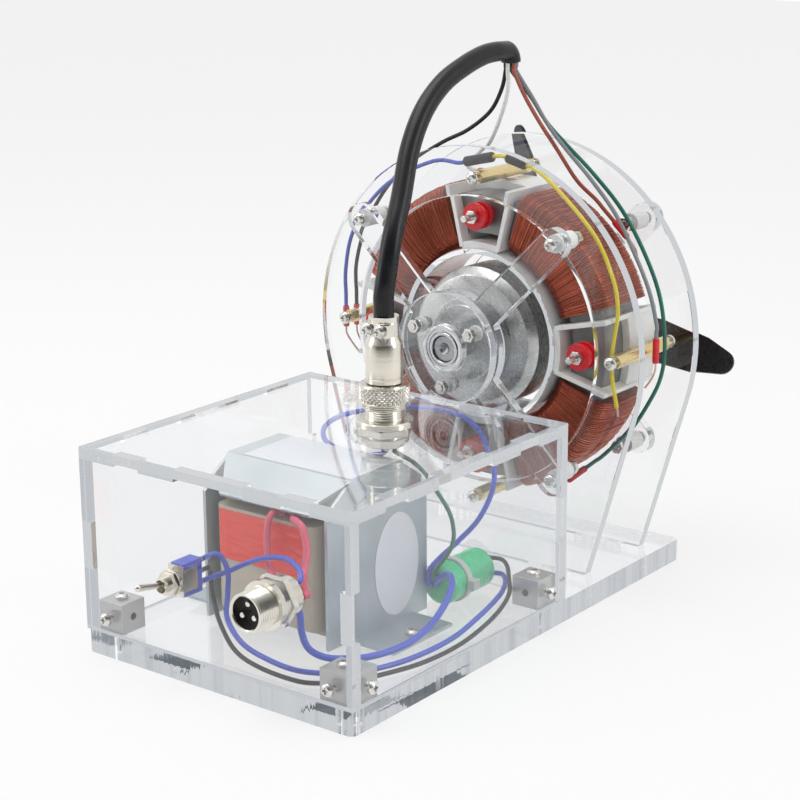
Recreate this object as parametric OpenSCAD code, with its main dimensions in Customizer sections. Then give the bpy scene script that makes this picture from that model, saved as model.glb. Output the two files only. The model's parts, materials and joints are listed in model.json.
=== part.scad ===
// Demonstration induction motor: a clear base carries a clear control box
// (transformer, capacitor, switch, inlet) and a four-coil motor between two clear
// plates, fed by one cable that plugs into the lid.
// Frame: millimetres, +Z up, origin at the centre of the base's underside,
// +X to the right, -Y towards the switch, +Y towards the motor.

/* [Base and box] */
// Width of the base and of the box, along X
base_w = 140; // [130:1:160]
// Length of the base behind the box, along Y
motor_room = 96; // [96:1:130]
// Thickness of the base
base_t = 10; // [8:0.5:14]
// Radius of the base's corners
base_corner = 3; // [1:0.5:6]
// Length of the box, along Y
box_l = 144; // [140:1:148]
// Height of the box above the base, lid included
box_h = 78; // [76:1:90]
// Thickness of the four walls
wall_t = 5; // [3:0.5:6]
// Thickness of the lid
lid_t = 5; // [3:0.5:6]
// Distance from the middle of a wall to the middle of its end tabs
tab_step = 44; // [40:1:50]
// Width of a wall's end tabs
end_tab_w = 14; // [8:1:18]
// Width of a wall's middle tab
mid_tab_w = 36; // [20:1:44]
// Height of the fingers that join the walls at the corners
finger_h = 20; // [10:1:30]
// Clearance of every sawn joint between clear sheets
kerf = 0.1; // [0.05:0.01:0.3]
// Edge of the metal cube in each corner
cube_size = 13; // [12:0.5:15]

/* [Motor frame] */
// Height of the shaft above the table
axis_h = 107.5; // [102:0.5:115]
// Distance from the back of the box to the motor's middle plane
motor_gap = 54; // [52:1:60]
// Thickness of the two plates
plate_t = 5; // [4:0.5:6]
// Clear distance between the plates
plate_gap = 40; // [38:0.5:44]
// Radius of the plates' round top
plate_r = 86; // [80:1:90]
// Radius of the window in each plate
window_r = 64; // [63:0.5:66]
// Half the width of a plate where it meets the base
foot_half = 61; // [50:1:64]
// Width of a plate's tenons
tenon_w = 24; // [14:1:30]
// Distance of the tenons from the middle
tenon_x = 40; // [30:1:44]
// Radius of the circle on which standoffs and spacers stand
bolt_r = 72; // [71.5:0.25:74]
// Width of a brass standoff across its flats
standoff_af = 5.5; // [4.5:0.25:6]
// Thickness of the spiders and of the bearing discs
hub_t = 5; // [4:0.5:6]
// Radius of the spiders' hubs and of the bearing discs
hub_r = 25; // [23:0.5:28]
// Width of a spider's arm
arm_w = 14; // [12:0.5:18]
// Length of the nylon spacers under a spider
spacer_l = 10; // [8:0.5:14]
// Outer diameter of the nylon spacers
spacer_d = 8; // [6:0.5:10]
// Thickness of the washers between a spider and its bearing disc
washer_t = 1.5; // [1:0.25:3]
// Radius of the circle of the hub screws
hub_screw_r = 17; // [16:0.25:18.5]

/* [Shaft, bearings and rotor] */
// Diameter of the shaft
shaft_d = 12; // [10:0.5:13]
// Outer diameter of the ball bearings
bearing_d = 21; // [20:0.5:24]
// Width of the ball bearings
bearing_w = 5; // [4:0.5:5]
// Radial running clearance inside a bearing
run_gap = 0.05; // [0.02:0.01:0.1]
// Radius of the rotor's laminations
rotor_r = 32; // [28:0.5:35]
// Length of the rotor's laminations
rotor_l = 18; // [14:1:26]
// Length of each end ring on the rotor
end_ring_l = 3; // [2:0.5:5]
// Distance from the motor's middle plane to the rotor's front face
rotor_front = 23; // [20:1:26]
// Radius of the rotor's hub
rotor_hub_r = 17; // [12:0.5:18]

/* [Stator] */
// Inner radius of the laminated core
core_ri = 46; // [45:0.5:48]
// Outer radius of the laminated core
core_ro = 64; // [60:0.5:65]
// Length of the laminated core along the shaft
core_l = 28; // [24:0.5:30]
// Inner radius of the clear liner around the rotor
liner_ri = 37.5; // [36:0.25:38.5]
// Outer radius of the clear liner around the rotor
liner_ro = 40; // [39:0.25:41]
// Diameter of the wound wire bundle
wind_d = 2; // [1.6:0.05:2.1]
// Number of loops that show on each coil
wind_loops = 15; // [8:1:16]
// Angle that a coil's loops fill
wind_span = 54; // [50:1:56]
// Radial space that a coil takes outside the core
coil_out = 5.8; // [4.5:0.1:6]
// Axial space that a coil takes on each side of the core
coil_side = 4; // [3.6:0.1:4.5]
// Thickness of a holder's cheeks
cheek_t = 2; // [1.5:0.25:2.5]
// Angle between a holder's middle and its cheeks
cheek_angle = 13.5; // [12.5:0.25:14]
// Radius on which the core bolts stand
core_bolt_r = 55; // [53:0.5:56]
// Diameter of the red insulating collars
collar_d = 12; // [9:0.5:13]

/* [Fan] */
// Radius of the fan
fan_r = 89; // [80:1:96]
// Radius of the fan's hub
fan_hub_r = 12; // [10:0.5:14]
// Length of the fan's hub
fan_hub_l = 9; // [8:0.5:12]
// Greatest width of a blade
blade_w = 20; // [14:1:24]
// Thickness of a blade
blade_t = 1.6; // [1:0.2:2.4]
// Pitch of the blades
blade_pitch = 30; // [20:1:35]

/* [Transformer] */
// Place of the transformer's middle along X
trafo_x = -7; // [-10:1:0]
// Distance from the front of the box to the transformer's middle, along Y
trafo_mid = 71.5; // [68:0.5:74]
// Width of the transformer over its side plates
trafo_w = 66; // [60:1:70]
// Height of the transformer
trafo_h = 64; // [60:1:66]
// Length of the side plates, along Y
trafo_l = 59; // [54:1:62]
// Thickness of the transformer's steel
trafo_t = 1.5; // [1:0.25:2]
// Length of the flat top between the two slopes
crown_l = 33; // [28:1:36]
// Drop of the sloping flanges
crown_drop = 8.5; // [6:0.5:10]
// Length of a foot, along X
foot_l = 19; // [14:1:20]
// Width of a foot, along Y
foot_w = 39; // [24:1:44]
// Thickness of the lamination stack
stack_t = 36; // [30:1:38]
// Height of the wound block in front of and behind the stack
block_h = 45; // [40:1:48]

/* [Capacitor] */
// Diameter of the capacitor
cap_d = 17.5; // [14:0.5:19]
// Length of the capacitor
cap_l = 28.5; // [26:0.5:29]
// Place of the capacitor's axis along X
cap_x = 29.5; // [28:0.5:34]

/* [Switch and connectors] */
// Place of the switch along X
switch_x = -21; // [-30:1:-16]
// Height of the switch above the base
switch_z = 31; // [28:0.5:36]
// Length of the lever in front of its pivot
lever_l = 17; // [12:0.5:20]
// Place of the inlet along X
inlet_x = 29.5; // [27:0.5:34]
// Height of the inlet above the base
inlet_z = 34; // [30:0.5:36]
// Thread diameter of the inlet and of the lid socket
thread_d = 16; // [14:0.5:17]
// Place of the lid socket along X
socket_x = 16.5; // [12:0.5:20]
// Distance from the back of the box to the lid socket, along Y
socket_mid = 55; // [52:0.5:58]
// Outer diameter of the knurled coupling ring
ring_d = 21; // [19.5:0.5:23]
// Length of the knurled coupling ring
ring_l = 10; // [8:0.5:12]
// Diameter of the motor cable
cable_d = 8.5; // [6:0.5:9]

/* [Fasteners] */
// Shank diameter of the small screws
screw_d = 3; // [2.5:0.1:3.4]
// Head diameter of the small screws
head_d = 5.6; // [5:0.1:6]
// Head height of the small screws
head_h = 2; // [1.6:0.1:2.2]
// Width of the hex nuts across their flats
nut_af = 5.5; // [5:0.1:6]
// Thickness of the hex nuts
nut_t = 2.4; // [1.6:0.1:2.6]
// Radial play of a screw in its hole
screw_play = 0.05; // [0.03:0.01:0.2]

/* [Hidden] */
$fn = 48;
clear = 0.02;          // face-to-face pieces of one body stay this far apart
eps = 1;               // how far a cutter runs past the faces that it cuts

// Box
base_l = box_l + motor_room;
front_y = -base_l / 2;
back_y = front_y + box_l;
motor_y = back_y + motor_gap;
trafo_y = front_y + trafo_mid;
socket_y = back_y - socket_mid;
box_mid_y = front_y + box_l / 2;
wall_h = box_h - lid_t;
wall_top = base_t + wall_h;
lid_top = base_t + box_h;
side_l = box_l - 2 * wall_t;
tabs = [[-tab_step, end_tab_w], [0, mid_tab_w], [tab_step, end_tab_w]];
cube_inset = wall_t + cube_size / 2;
cube_grip = 4;         // depth of a wall screw in its cube
hole_d = screw_d + 2 * screw_play;

// Motor frame
front_in = motor_y - plate_gap / 2;
rear_in = motor_y + plate_gap / 2;
frame_half = plate_gap / 2 + plate_t;
spider_in = frame_half + spacer_l;
spider_out = spider_in + hub_t;
disc_in = spider_out + washer_t;
disc_out = disc_in + hub_t;
quarter = [0, 90, 180, 270];
corners = [45, 135, 225, 315];
hub_angles = [30, 150, 270];
foot_dist = norm([foot_half, base_t - axis_h]);
tangent_angle = atan2(base_t - axis_h, foot_half) + acos(plate_r / foot_dist);

// Shaft and rotor
bearing_y = [motor_y - disc_out + bearing_w / 2, motor_y + disc_out - bearing_w / 2];
ring_t = 1.4;          // radial thickness of a bearing's inner ring
inner_ring_r = shaft_d / 2 + ring_t;
rotor_y = motor_y - rotor_front;
rotor_end = rotor_y + rotor_l + 2 * end_ring_l;
shaft_front = motor_y - disc_out + 1;
fan_y = motor_y + disc_out + 3;
shaft_back = fan_y + fan_hub_l + 3;
blade_mid = fan_y + fan_hub_l / 2;
blade_n = 3;
blade_start = -10;

// Stator
wind_r = wind_d / 2;
coil_gap = 0.3;        // gap between the liner and the innermost turns
wind_in = liner_ro + coil_gap + wind_r;
wind_out = core_ro + coil_out - wind_r;
wind_side = core_l / 2 + coil_side - wind_r;
pad_gap = 0.15;        // gap between the turns and the plain core under them
bend_r = 3;            // corner radius of a turn
turn_room = wind_d + 0.42; // space that each loop needs at the inner radius
loops = min(wind_loops, floor(PI / 180 * wind_span * wind_in / turn_room));
cheek_half = plate_gap / 2 - 0.2;
cheek_out = core_ro + 5;
collar_l = plate_gap / 2 - core_l / 2 + 4;
core_bolt_half = core_l / 2 + collar_l + nut_t + 5.5;

// Transformer
trafo_half = trafo_w / 2;
slope_run = (trafo_l - crown_l) / 2;
slope_l = norm([slope_run, crown_drop]);
slope_a = atan2(crown_drop, slope_run);
flange_sink = 0.12;    // a flange's top lies this far under the flat band's edge
flange_in = 9;         // how far a sloping flange narrows on each side
leg_w = 22;            // width of the middle leg of the laminations
window_w = 11;         // width of each window of the laminations
block_x = [-29, 25];   // ends of the wound block from the transformer's middle
block_y = 27;          // reach of the wound block from the transformer's middle
block_z = base_t + 4.5;
tape_t = 1.2;

// Capacitor
tie_t = 0.9;
tie_w = 3;
cap_z = base_t + tie_t + 0.1 + cap_d / 2;
cap_y = back_y - 39;      // front face of the capacitor

// Switch: bushing through the front wall, body behind it
switch_h = base_t + switch_z;
bushing_d = 6;
pivot_y = front_y - 3;
switch_w = 8;
switch_body_h = 14;
switch_body_l = 11;
bracket_t = 0.8;
switch_back = front_y + wall_t + bracket_t + switch_body_l;
tag_step = 4.7;
tag_l = 4;
ball_r = 1.9;          // ball of the lever inside the bushing

// Inlet
inlet_h = base_t + inlet_z;
inlet_face = front_y - 13;
inlet_back = front_y + wall_t + 9;
pin_circle = 3.4;
pin_d = 2.2;
pin_tail = inlet_back + 5;

// Lid socket, plug and coupling ring, heights
socket_nut_t = 3;
socket_flange = lid_top + 2 * socket_nut_t;
ring_z = socket_flange + 5;
socket_top = ring_z + 4;
ring_top = ring_z + ring_l;
lip_t = 2;
neck_r = 5.6;
barrel_r = thread_d / 2 - 0.3;
barrel_top = ring_top + 17;
clamp_top = barrel_top + 11;
clamp_half_y = 6.6;
clamp_screw_x = 3.2;
clamp_screw_l = 3;
socket_bottom = wall_top - 4;
socket_pin_l = 1.6;
socket_pin = 2.83;     // a solder pin's distance from the socket's middle, along X and Y
end_gap = 0.25;        // every wire ends this far short of what it meets

// Motor cable: it leaves the clamp upwards and ends cut off above the plates,
// where its last turn faces down
cable_r = cable_d / 2;
cable_turn = cable_r + 1;
cable_end_y = 67.2;
cable_end_z = 229;
cable_end_x = 10;
cable_route = [[socket_x, socket_y, clamp_top], [socket_x, socket_y, clamp_top + 4],
    [socket_x, socket_y, clamp_top + 8], [17, -30, 152], [17, -26, 167], [14, -16, 182],
    [9.5, -4, 200], [7.5, 8, 214], [7, 22, 224], [8, 36, 230], [9, 48, 233.4],
    [cable_end_x, 56, cable_end_z + cable_turn]];
core_wire_r = 0.9;
core_circle = 2.4;     // circle on which the cable's cores leave its cut end

// Routes of the cable's cores, from the cut end down to their sleeves
black_core = concat(core_start(200), [[6, 66, 217], [0, 66, 207], [-12, 66, 198],
    [-26, 67, 191.5], [-42, 68, 182], [-58, 69, 168], [-71, 70, 149], [-78, 71, 130],
    [-79, 72, 116], [-79, 72, 113], [-79, 72, 110]]);
white_core = concat(core_start(270), [[10, 65, 217], [5, 67, 205], [-3, 71, 193.5],
    [-12, 76, 186.5], [-19, 79, 182.8], [-20.5, 80, 179.8], [-17.5, 80, 178.4],
    [-14.5, 80, 178.2]]);
brown_core = concat(core_start(340), [[15, 70, 215], [19, 76, 203], [25, 81, 191],
    [33, 85, 177.5], [41, 88, 169.5], [45.2, 89, 164.9], [49.4, 90, 160.4]]);
grey_core = concat(core_start(50), [[17, 74, 213], [22, 79, 201], [31, 80, 191],
    [43, 80, 180], [56, 80, 166], [66, 80, 150], [74, 80, 134], [78, 80, 120],
    [78, 80, 117], [78, 80, 114]]);
green_core = concat(core_start(120), [[14, 77, 213], [19, 82, 202], [29, 84, 192],
    [42, 84, 181.5], [57, 84, 167], [69, 84, 149], [77, 84, 131], [80, 84, 111],
    [78.5, 84, 96], [73, 83, 83], [64, 83, 69], [53, 82, 57], [49, 81, 53.5],
    [45, 80, 50]]);

// Leads of the windings: blue and yellow leave the same black sleeve at the top
splice_a = [[-11, 65, 184.5], [4, 65, 188]];
splice_b = [[12, 64, 188.5], [22, 64, 186]];
blue_lead = concat(past(splice_a[1], splice_a[0], 4), [[-29, 66, 183], [-52, 66, 172.5],
    [-68, 66, 158], [-77, 66, 143], [-80.5, 66, 127], [-80.5, 66, 116],
    [-80.5, 66, 113], [-80.5, 66, 110]]);
yellow_link = [splice_a[1], [5.5, 64.9, 188.35], [8, 64.5, 188.8], [10.5, 64.1, 188.75],
    splice_b[0]];
yellow_lead = concat(past(splice_b[0], splice_b[1], 4), [[37, 64, 178], [57, 64, 159.5],
    [67, 64, 141], [69.5, 64, 128], [68.2, 64, 118], [66.9, 64, 107.5], [67.8, 63.5, 98],
    [69.8, 63, 90], [70.6, 63, 86]]);

// Sleeves over the joints: ends, radius and colour
black_sleeve_r = 2.3;
red_sleeve_r = 1.5;
sleeves = [[splice_a[0], splice_a[1], black_sleeve_r, "#1c1c1e"],
    [splice_b[0], splice_b[1], black_sleeve_r, "#1c1c1e"],
    [[-79, 72, 110], [-79, 72, 100], red_sleeve_r, "#d6202a"],
    [[-80.5, 66, 110], [-80.5, 66, 100], red_sleeve_r, "#d6202a"],
    [[-14.5, 80, 178.2], [-4.9, 80, 177.8], red_sleeve_r, "#d6202a"],
    [[49.4, 90, 160.4], [55.6, 91.4, 153.6], red_sleeve_r, "#d6202a"],
    [[78, 80, 114], [78, 80, 103], red_sleeve_r, "#d6202a"],
    [[45, 80, 50], [37, 78, 43], red_sleeve_r, "#d6202a"]];
tail_r = 0.5;
tails = [[[-79, 72, 100], [-79, 72, 97], [-77.5, 72.5, 93], [-74, 73.5, 89]],
    [[-80.5, 66, 100], [-80.5, 66, 97], [-78.5, 67, 93], [-74.5, 68, 88]],
    [[-4.9, 80, 177.8], [-3.8, 80, 177.2], [-2.6, 80, 176.1], [0, 80, 176.02], [3, 80, 176.02],
        [7, 80, 176.6]],
    [past(sleeves[5][0], sleeves[5][1], 0)[0], past(sleeves[5][0], sleeves[5][1], 2)[1],
        [59.8, 91.8, 148.4], [60.6, 91.5, 145.2]],
    [[78, 80, 103], [78, 80, 100], [76.5, 80, 96], [73, 80, 91]],
    [sleeves[7][1], past(sleeves[7][0], sleeves[7][1], 2)[1], [33, 77.4, 40.6],
        [29, 77.5, 42]]];
bare_tip = [[70.6, 63, 86], [70.8, 63, 85], [71.2, 62.9, 83.2], [71.5, 62.8, 82]];

// Wires in the box
thick_wire_r = 1.4;
thin_wire_r = 1.1;
black_wire_r = 0.95;
cap_end_y = cap_y + cap_l;
tag_end = switch_back + tag_l;
blue_switch_wire = [[switch_x, tag_end, switch_h + tag_step],
    [switch_x, tag_end + 1.5, switch_h + tag_step], [switch_x, tag_end + 3, switch_h + tag_step],
    [-18, -93, 46], [-14, -92.5, 40], [-13, -94, 31], [-10, -98, 22.5], [2, -103, 16.5],
    [18, -106, 14.5], [34, -106.5, 14], [46, -100, 13.8], [54, -88, 13.6], [58.5, -70, 13.4],
    [59, -46, 13.4], [54, -20, 13.6], [49, 0, 14.2], [46, 9, 15.5], [42.5, 14.6, 16.6],
    [39, 17.3, 17], [35.5, 17.1, 16.9], [cap_x + 3, cap_end_y + 2.3, cap_z - 3]];
black_switch_wire = [[switch_x, tag_end, switch_h], [switch_x, tag_end + 1.5, switch_h],
    [switch_x, tag_end + 3, switch_h], [-23.5, -93, 38.5], [-24, -91.8, 33], [-21, -93.5, 25.5],
    [-13, -98.6, 19],
    [2, -106.5, 14], [18, -110, 12.2], [36, -110.5, 11.8], [45, -107, 11.8],
    [51.2, -99.5, 11.8], [57, -86, 11.6], [62, -68, 11.6], [62.5, -44, 11.6],
    [58, -16, 12.6], [53, 2, 15.4], [48, 9.5, 19.6], [43.5, 14.5, 22.6], [39, 17.2, 23.7],
    [35.5, 16.9, 23.8], [cap_x + 2, cap_end_y + 2.1, cap_z + 4]];
blue_inlet_wire = [[inlet_x, inlet_back, inlet_h - 4.6], [inlet_x, inlet_back + 2, inlet_h - 4.6],
    [inlet_x, inlet_back + 3.5, inlet_h - 5], [29.5, -99.5, 34], [30, -99, 26], [34, -99, 20],
    [42, -96, 17.5], [50, -86, 17], [54.6, -70, 18], [54, -54, 20.5], [51, -40, 24.5],
    [47, -30, 28.5], [41, -23.5, 29.5], [35, -20.6, 26.5], [cap_x + 2, -19, 23.5],
    [cap_x, -17.6, cap_z + 1.5], [cap_x, cap_y - 1.5, cap_z + 1.5]];
blue_cross_wire = [[switch_x, tag_end, switch_h - tag_step],
    [switch_x, tag_end + 1.5, switch_h - tag_step], [switch_x, tag_end + 3, switch_h - tag_step],
    [-16, -90.2, 38.5], [-8, -88, 43], [2, -88, 47.5], [14, -90, 50.6], [24, -94, 50.4],
    [28.4, -97, 48.6], [inlet_x, pin_tail + 2, inlet_h + pin_circle],
    [inlet_x, pin_tail, inlet_h + pin_circle]];
blue_lid_wire = [[socket_x - socket_pin, socket_y + socket_pin, socket_bottom - socket_pin_l],
    [socket_x - socket_pin, socket_y + socket_pin, socket_bottom - socket_pin_l - 1.1],
    [socket_x - socket_pin - 0.3, socket_y + socket_pin + 0.5, socket_bottom - socket_pin_l - 2.2],
    [10, -23, 72.5], [4, -19.5, 69.5], [-7, -17.8, 67], [-19, -17.6, 67], [-27, -17.4, 70],
    [-30.5, -13, 74], [-29.5, -4, 76.6], [-24, 5, 78], [-14, 13, 79.2], [-2, 17, 80.4],
    [10, 17.8, 81], [22, 15.5, 80.8], [33, 10.5, 79], [39.5, 7, 75.5], [43.5, 4.5, 69],
    [45, 1, 60], [41, -3, 48], [34.5, -8.6, 38.5], [30, -14, 32.5], [28, -18.6, 28.5], [27.4, -20, 25],
    [27.3, -19.4, 21.6], [27.3, -17.9, 20], [27.3, cap_y - 1.5, cap_z]];
green_lid_wire = [[socket_x + socket_pin, socket_y + socket_pin, socket_bottom - socket_pin_l],
    [socket_x + socket_pin, socket_y + socket_pin, socket_bottom - socket_pin_l - 1.1],
    [socket_x + socket_pin + 0.3, socket_y + socket_pin + 0.5, socket_bottom - socket_pin_l - 2.2],
    [25.5, -23.5, 71], [31, -21, 65], [37.5, -19, 55], [38.4, -17, 46], [37, -16.5, 39],
    [34.3, -18, 33.4], [32, -19.2, 29.6], [30.7, -18.9, 26.8], [cap_x + 0.1, -17.7, cap_z + 5.5],
    [cap_x, cap_y - 1.4, cap_z + 5.4]];

// Sleeved leads from the transformer's winding to the inlet
lead_r = 1.5;
block_front = trafo_y - block_y;
block_top = block_z + block_h;
lead_start_y = block_front + 5;
left_lead = [[-3, lead_start_y, block_top], [-3, lead_start_y, block_top + 2],
    [-3, lead_start_y - 1.5, block_top + 3.3], [-3, -76.4, block_top + 2.8],
    [-3, -79.4, block_top + 0.6], [-2.7, -80.8, 56], [-1.5, -82.5, 50], [3, -86.5, 43.6],
    [12, -93, 41.6], [20, -97, 41.8], [inlet_x - 3, pin_tail + 4.5, 42.2],
    [inlet_x - pin_circle * cos(30), pin_tail + 1.8, inlet_h - pin_circle / 2],
    [inlet_x - pin_circle * cos(30), pin_tail, inlet_h - pin_circle / 2]];
right_lead = [[4, lead_start_y, block_top], [4, lead_start_y, block_top + 2],
    [5, lead_start_y - 1.8, block_top + 3.3], [8, -77.2, block_top + 2.4],
    [12, -80.4, block_top + 3.4], [17, -82.2, 61.4], [21, -84.5, 54], [22.6, -88, 47.6],
    [26, -93, 44.6], [30, -96.5, 42.8], [inlet_x + 3, pin_tail + 2.6, 42.3],
    [inlet_x + pin_circle * cos(30), pin_tail + 1.4, inlet_h - pin_circle / 2],
    [inlet_x + pin_circle * cos(30), pin_tail, inlet_h - pin_circle / 2]];

// ---- Functions: smooth routes and swept tubes ----

function unit(v) = v / norm(v);

// A point of a cubic curve through b and c, at t from 0 to 1
function curve_point(a, b, c, d, t) =
    (2 * b + (c - a) * t + (2 * a - 5 * b + 4 * c - d) * t * t
        + (3 * b - a - 3 * c + d) * t * t * t) / 2;

// A route rounded into more points, with this many steps between its own points
function rounded(route, steps) = let (n = len(route) - 1)
    [for (i = [0:n - 1]) for (s = [0:steps - 1])
        curve_point(route[max(i - 1, 0)], route[i], route[i + 1], route[min(i + 2, n)], s / steps),
    route[n]];

// A route whose two ends stop this far short
function trimmed(p, gap) = let (n = len(p) - 1)
    concat([p[0] + unit(p[1] - p[0]) * gap], [for (i = [1:n - 1]) p[i]],
        [p[n] + unit(p[n - 1] - p[n]) * gap]);

// Two points that leave b in the line from a to b, this far on
function past(a, b, reach) = [b, b + unit(b - a) * reach];

// First points of a core that leaves the cable's cut end, straight down
function core_start(angle) =
    let (x = cable_end_x + core_circle * cos(angle), y = cable_end_y + core_circle * sin(angle))
    [[x, y, cable_end_z - 0.4], [x, y, cable_end_z - 2], [x, y, cable_end_z - 4]];

function tangents(p) = let (n = len(p) - 1)
    [for (i = [0:n]) unit(p[min(i + 1, n)] - p[max(i - 1, 0)])];

// A vector carried along without twist: the part of it that is square to t
function carried(v, t) = unit(v - (v * t) * t);

function side_vectors(t, first) = [for (i = 0, v = carried(first, t[0]); i < len(t);
    i = i + 1, v = carried(v, t[min(i, len(t) - 1)])) v];

// A closed tube along points, with flat ends square to the path
module tube(points, r, sides = 8, first = [0.3, 0.2, 0.93]) {
    t = tangents(points);
    v = side_vectors(t, first);
    last = (len(points) - 1) * sides;
    rings = [for (i = [0:len(points) - 1]) for (k = [0:sides - 1])
        let (a = 360 * (k + 0.5) / sides)
        points[i] + r * (cos(a) * v[i] + sin(a) * cross(t[i], v[i]))];
    walls = [for (i = [0:len(points) - 2]) for (k = [0:sides - 1])
        let (a = i * sides + k, b = i * sides + (k + 1) % sides)
        each [[a, a + sides, b + sides], [a, b + sides, b]]];
    ends = [for (k = [1:sides - 2]) each [[0, k, k + 1], [last, last + k + 1, last + k]]];
    polyhedron(points = rings, faces = concat(walls, ends), convexity = 10);
}

// A wire along a rounded route, with a small gap at both ends
module wire(route, steps, r, sides = 8) {
    tube(trimmed(rounded(route, steps), end_gap), r, sides);
}

// ---- Shared shapes ----

// Puts its children on the circle of radius r around the shaft, at this angle and Y
module on_circle(r, angle, y) {
    translate([r * cos(angle), y, axis_h + r * sin(angle)]) children();
}

module along_y() {
    rotate([-90, 0, 0]) children();
}

// A cylinder along the shaft from y0 to y1
module axial(r, y0, y1) {
    translate([0, y0, axis_h]) along_y() cylinder(r = r, h = y1 - y0, $fn = 96);
}

// A ring along the shaft
module axial_ring(r_in, r_out, y0, y1) {
    difference() {
        axial(r_out, y0, y1);
        axial(r_in, y0 - eps, y1 + eps);
    }
}

// A crossed pan head above z = 0 and its shank below
module pan_screw(shank) {
    slot_w = head_d / 6;
    difference() {
        union() {
            cylinder(d = head_d, h = head_h * 0.55, $fn = 32);
            translate([0, 0, head_h * 0.55])
                cylinder(d1 = head_d, d2 = head_d * 0.62, h = head_h * 0.45, $fn = 32);
        }
        for (a = [0, 90]) rotate([0, 0, a])
            translate([-head_d / 4, -slot_w / 2, head_h / 2]) cube([head_d / 2, slot_w, head_h]);
    }
    translate([0, 0, -shank]) cylinder(d = screw_d, h = shank, $fn = 24);
}

// A hex nut on z = 0 to t, on a thread of diameter d
module hex_nut(af, t, d) {
    difference() {
        cylinder(d = af / cos(30), h = t, $fn = 6);
        translate([0, 0, -eps]) cylinder(d = d, h = t + 2 * eps, $fn = 48);
    }
}

// A straight rod between two points
module rod_between(a, b, r) {
    d = b - a;
    translate(a) rotate([0, acos(d[2] / norm(d)), atan2(d[1], d[0])])
        cylinder(r = r, h = norm(d), $fn = 24);
}

// ---- Base and box ----

// Places of the corner cubes: side and end, each -1 or 1
module at_corners() {
    for (sx = [-1, 1]) for (sy = [-1, 1])
        translate([sx * (base_w / 2 - cube_inset), box_mid_y + sy * (box_l / 2 - cube_inset),
            base_t + cube_size / 2]) children();
}

module base_plate() {
    color("#eef4f7") difference() {
        union() {
            translate([-base_w / 2 + base_corner, -base_l / 2, 0])
                cube([base_w - 2 * base_corner, base_l, base_t]);
            translate([-base_w / 2, -base_l / 2 + base_corner, 0])
                cube([base_w, base_l - 2 * base_corner, base_t]);
            for (sx = [-1, 1]) for (sy = [-1, 1])
                translate([sx * (base_w / 2 - base_corner), sy * (base_l / 2 - base_corner), 0])
                    cylinder(r = base_corner, h = base_t);
        }
        for (y = [front_in - plate_t, rear_in]) for (s = [-1, 1])
            translate([s * tenon_x - (tenon_w + kerf) / 2, y - kerf / 2, -eps])
                cube([tenon_w + kerf, plate_t + kerf, base_t + 2 * eps]);
        at_corners() translate([0, 0, -base_t - cube_size / 2 - eps])
            cylinder(d = hole_d, h = base_t + 2 * eps, $fn = 24);
        for (s = [-1, 1]) translate([foot_screw_x(s), trafo_y, base_t - 7])
            cylinder(d = hole_d, h = 7 + eps, $fn = 24);
    }
}

// A wall panel standing on the base along X, its outer face at y = 0
module tabbed_panel(length) {
    translate([-length / 2, 0, base_t]) cube([length, wall_t, wall_h]);
    for (t = tabs) translate([t[0] - t[1] / 2, 0, wall_top - eps])
        cube([t[1], wall_t, lid_t + eps]);
}

// Notches at both ends of a cross wall for the side walls' fingers
module finger_notches() {
    for (s = [-1, 1])
        translate([s * (base_w / 2 - wall_t / 2) - wall_t / 2 - (s > 0 ? kerf : eps), -eps,
            base_t + (wall_h - finger_h - kerf) / 2])
            cube([wall_t + kerf + eps, wall_t + 2 * eps, finger_h + kerf]);
}

module cross_wall_screw_holes() {
    for (s = [-1, 1]) translate([s * (base_w / 2 - cube_inset), -eps, base_t + cube_size / 2])
        along_y() cylinder(d = hole_d, h = wall_t + 2 * eps, $fn = 24);
}

module front_wall() {
    color("#f2f7fa") translate([0, front_y, 0]) difference() {
        tabbed_panel(base_w);
        finger_notches();
        cross_wall_screw_holes();
        translate([switch_x, -eps, switch_h]) along_y()
            cylinder(d = bushing_d + 2 * kerf, h = wall_t + 2 * eps);
        translate([inlet_x, -eps, inlet_h]) along_y()
            cylinder(d = thread_d + 2 * kerf, h = wall_t + 2 * eps);
    }
}

module rear_wall() {
    color("#f2f7fa") translate([0, back_y - wall_t, 0]) difference() {
        tabbed_panel(base_w);
        finger_notches();
        cross_wall_screw_holes();
    }
}

// A side wall between the cross walls, its outer face at x = side * base_w / 2
module side_wall(side) {
    color("#f2f7fa") translate([side * base_w / 2, box_mid_y, 0]) rotate([0, 0, side * 90])
        difference() {
            union() {
                tabbed_panel(side_l);
                translate([-box_l / 2, 0, base_t + (wall_h - finger_h) / 2])
                    cube([box_l, wall_t, finger_h]);
            }
            for (s = [-1, 1]) translate([s * (box_l / 2 - cube_inset), -eps, base_t + cube_size / 2])
                along_y() cylinder(d = hole_d, h = wall_t + 2 * eps, $fn = 24);
        }
}

module left_wall() {
    side_wall(-1);
}

module right_wall() {
    side_wall(1);
}

module box_lid() {
    color("#f4f8fb") difference() {
        translate([-base_w / 2, front_y, wall_top]) cube([base_w, box_l, lid_t]);
        for (t = tabs) {
            for (y = [front_y - eps, back_y - wall_t - kerf])
                translate([t[0] - (t[1] + kerf) / 2, y, wall_top - eps])
                    cube([t[1] + kerf, wall_t + kerf + eps, lid_t + 2 * eps]);
            for (x = [-base_w / 2 - eps, base_w / 2 - wall_t - kerf])
                translate([x, box_mid_y + t[0] - (t[1] + kerf) / 2, wall_top - eps])
                    cube([wall_t + kerf + eps, t[1] + kerf, lid_t + 2 * eps]);
        }
        translate([socket_x, socket_y, wall_top - eps])
            cylinder(d = thread_d + 2 * kerf, h = lid_t + 2 * eps);
    }
}

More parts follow.
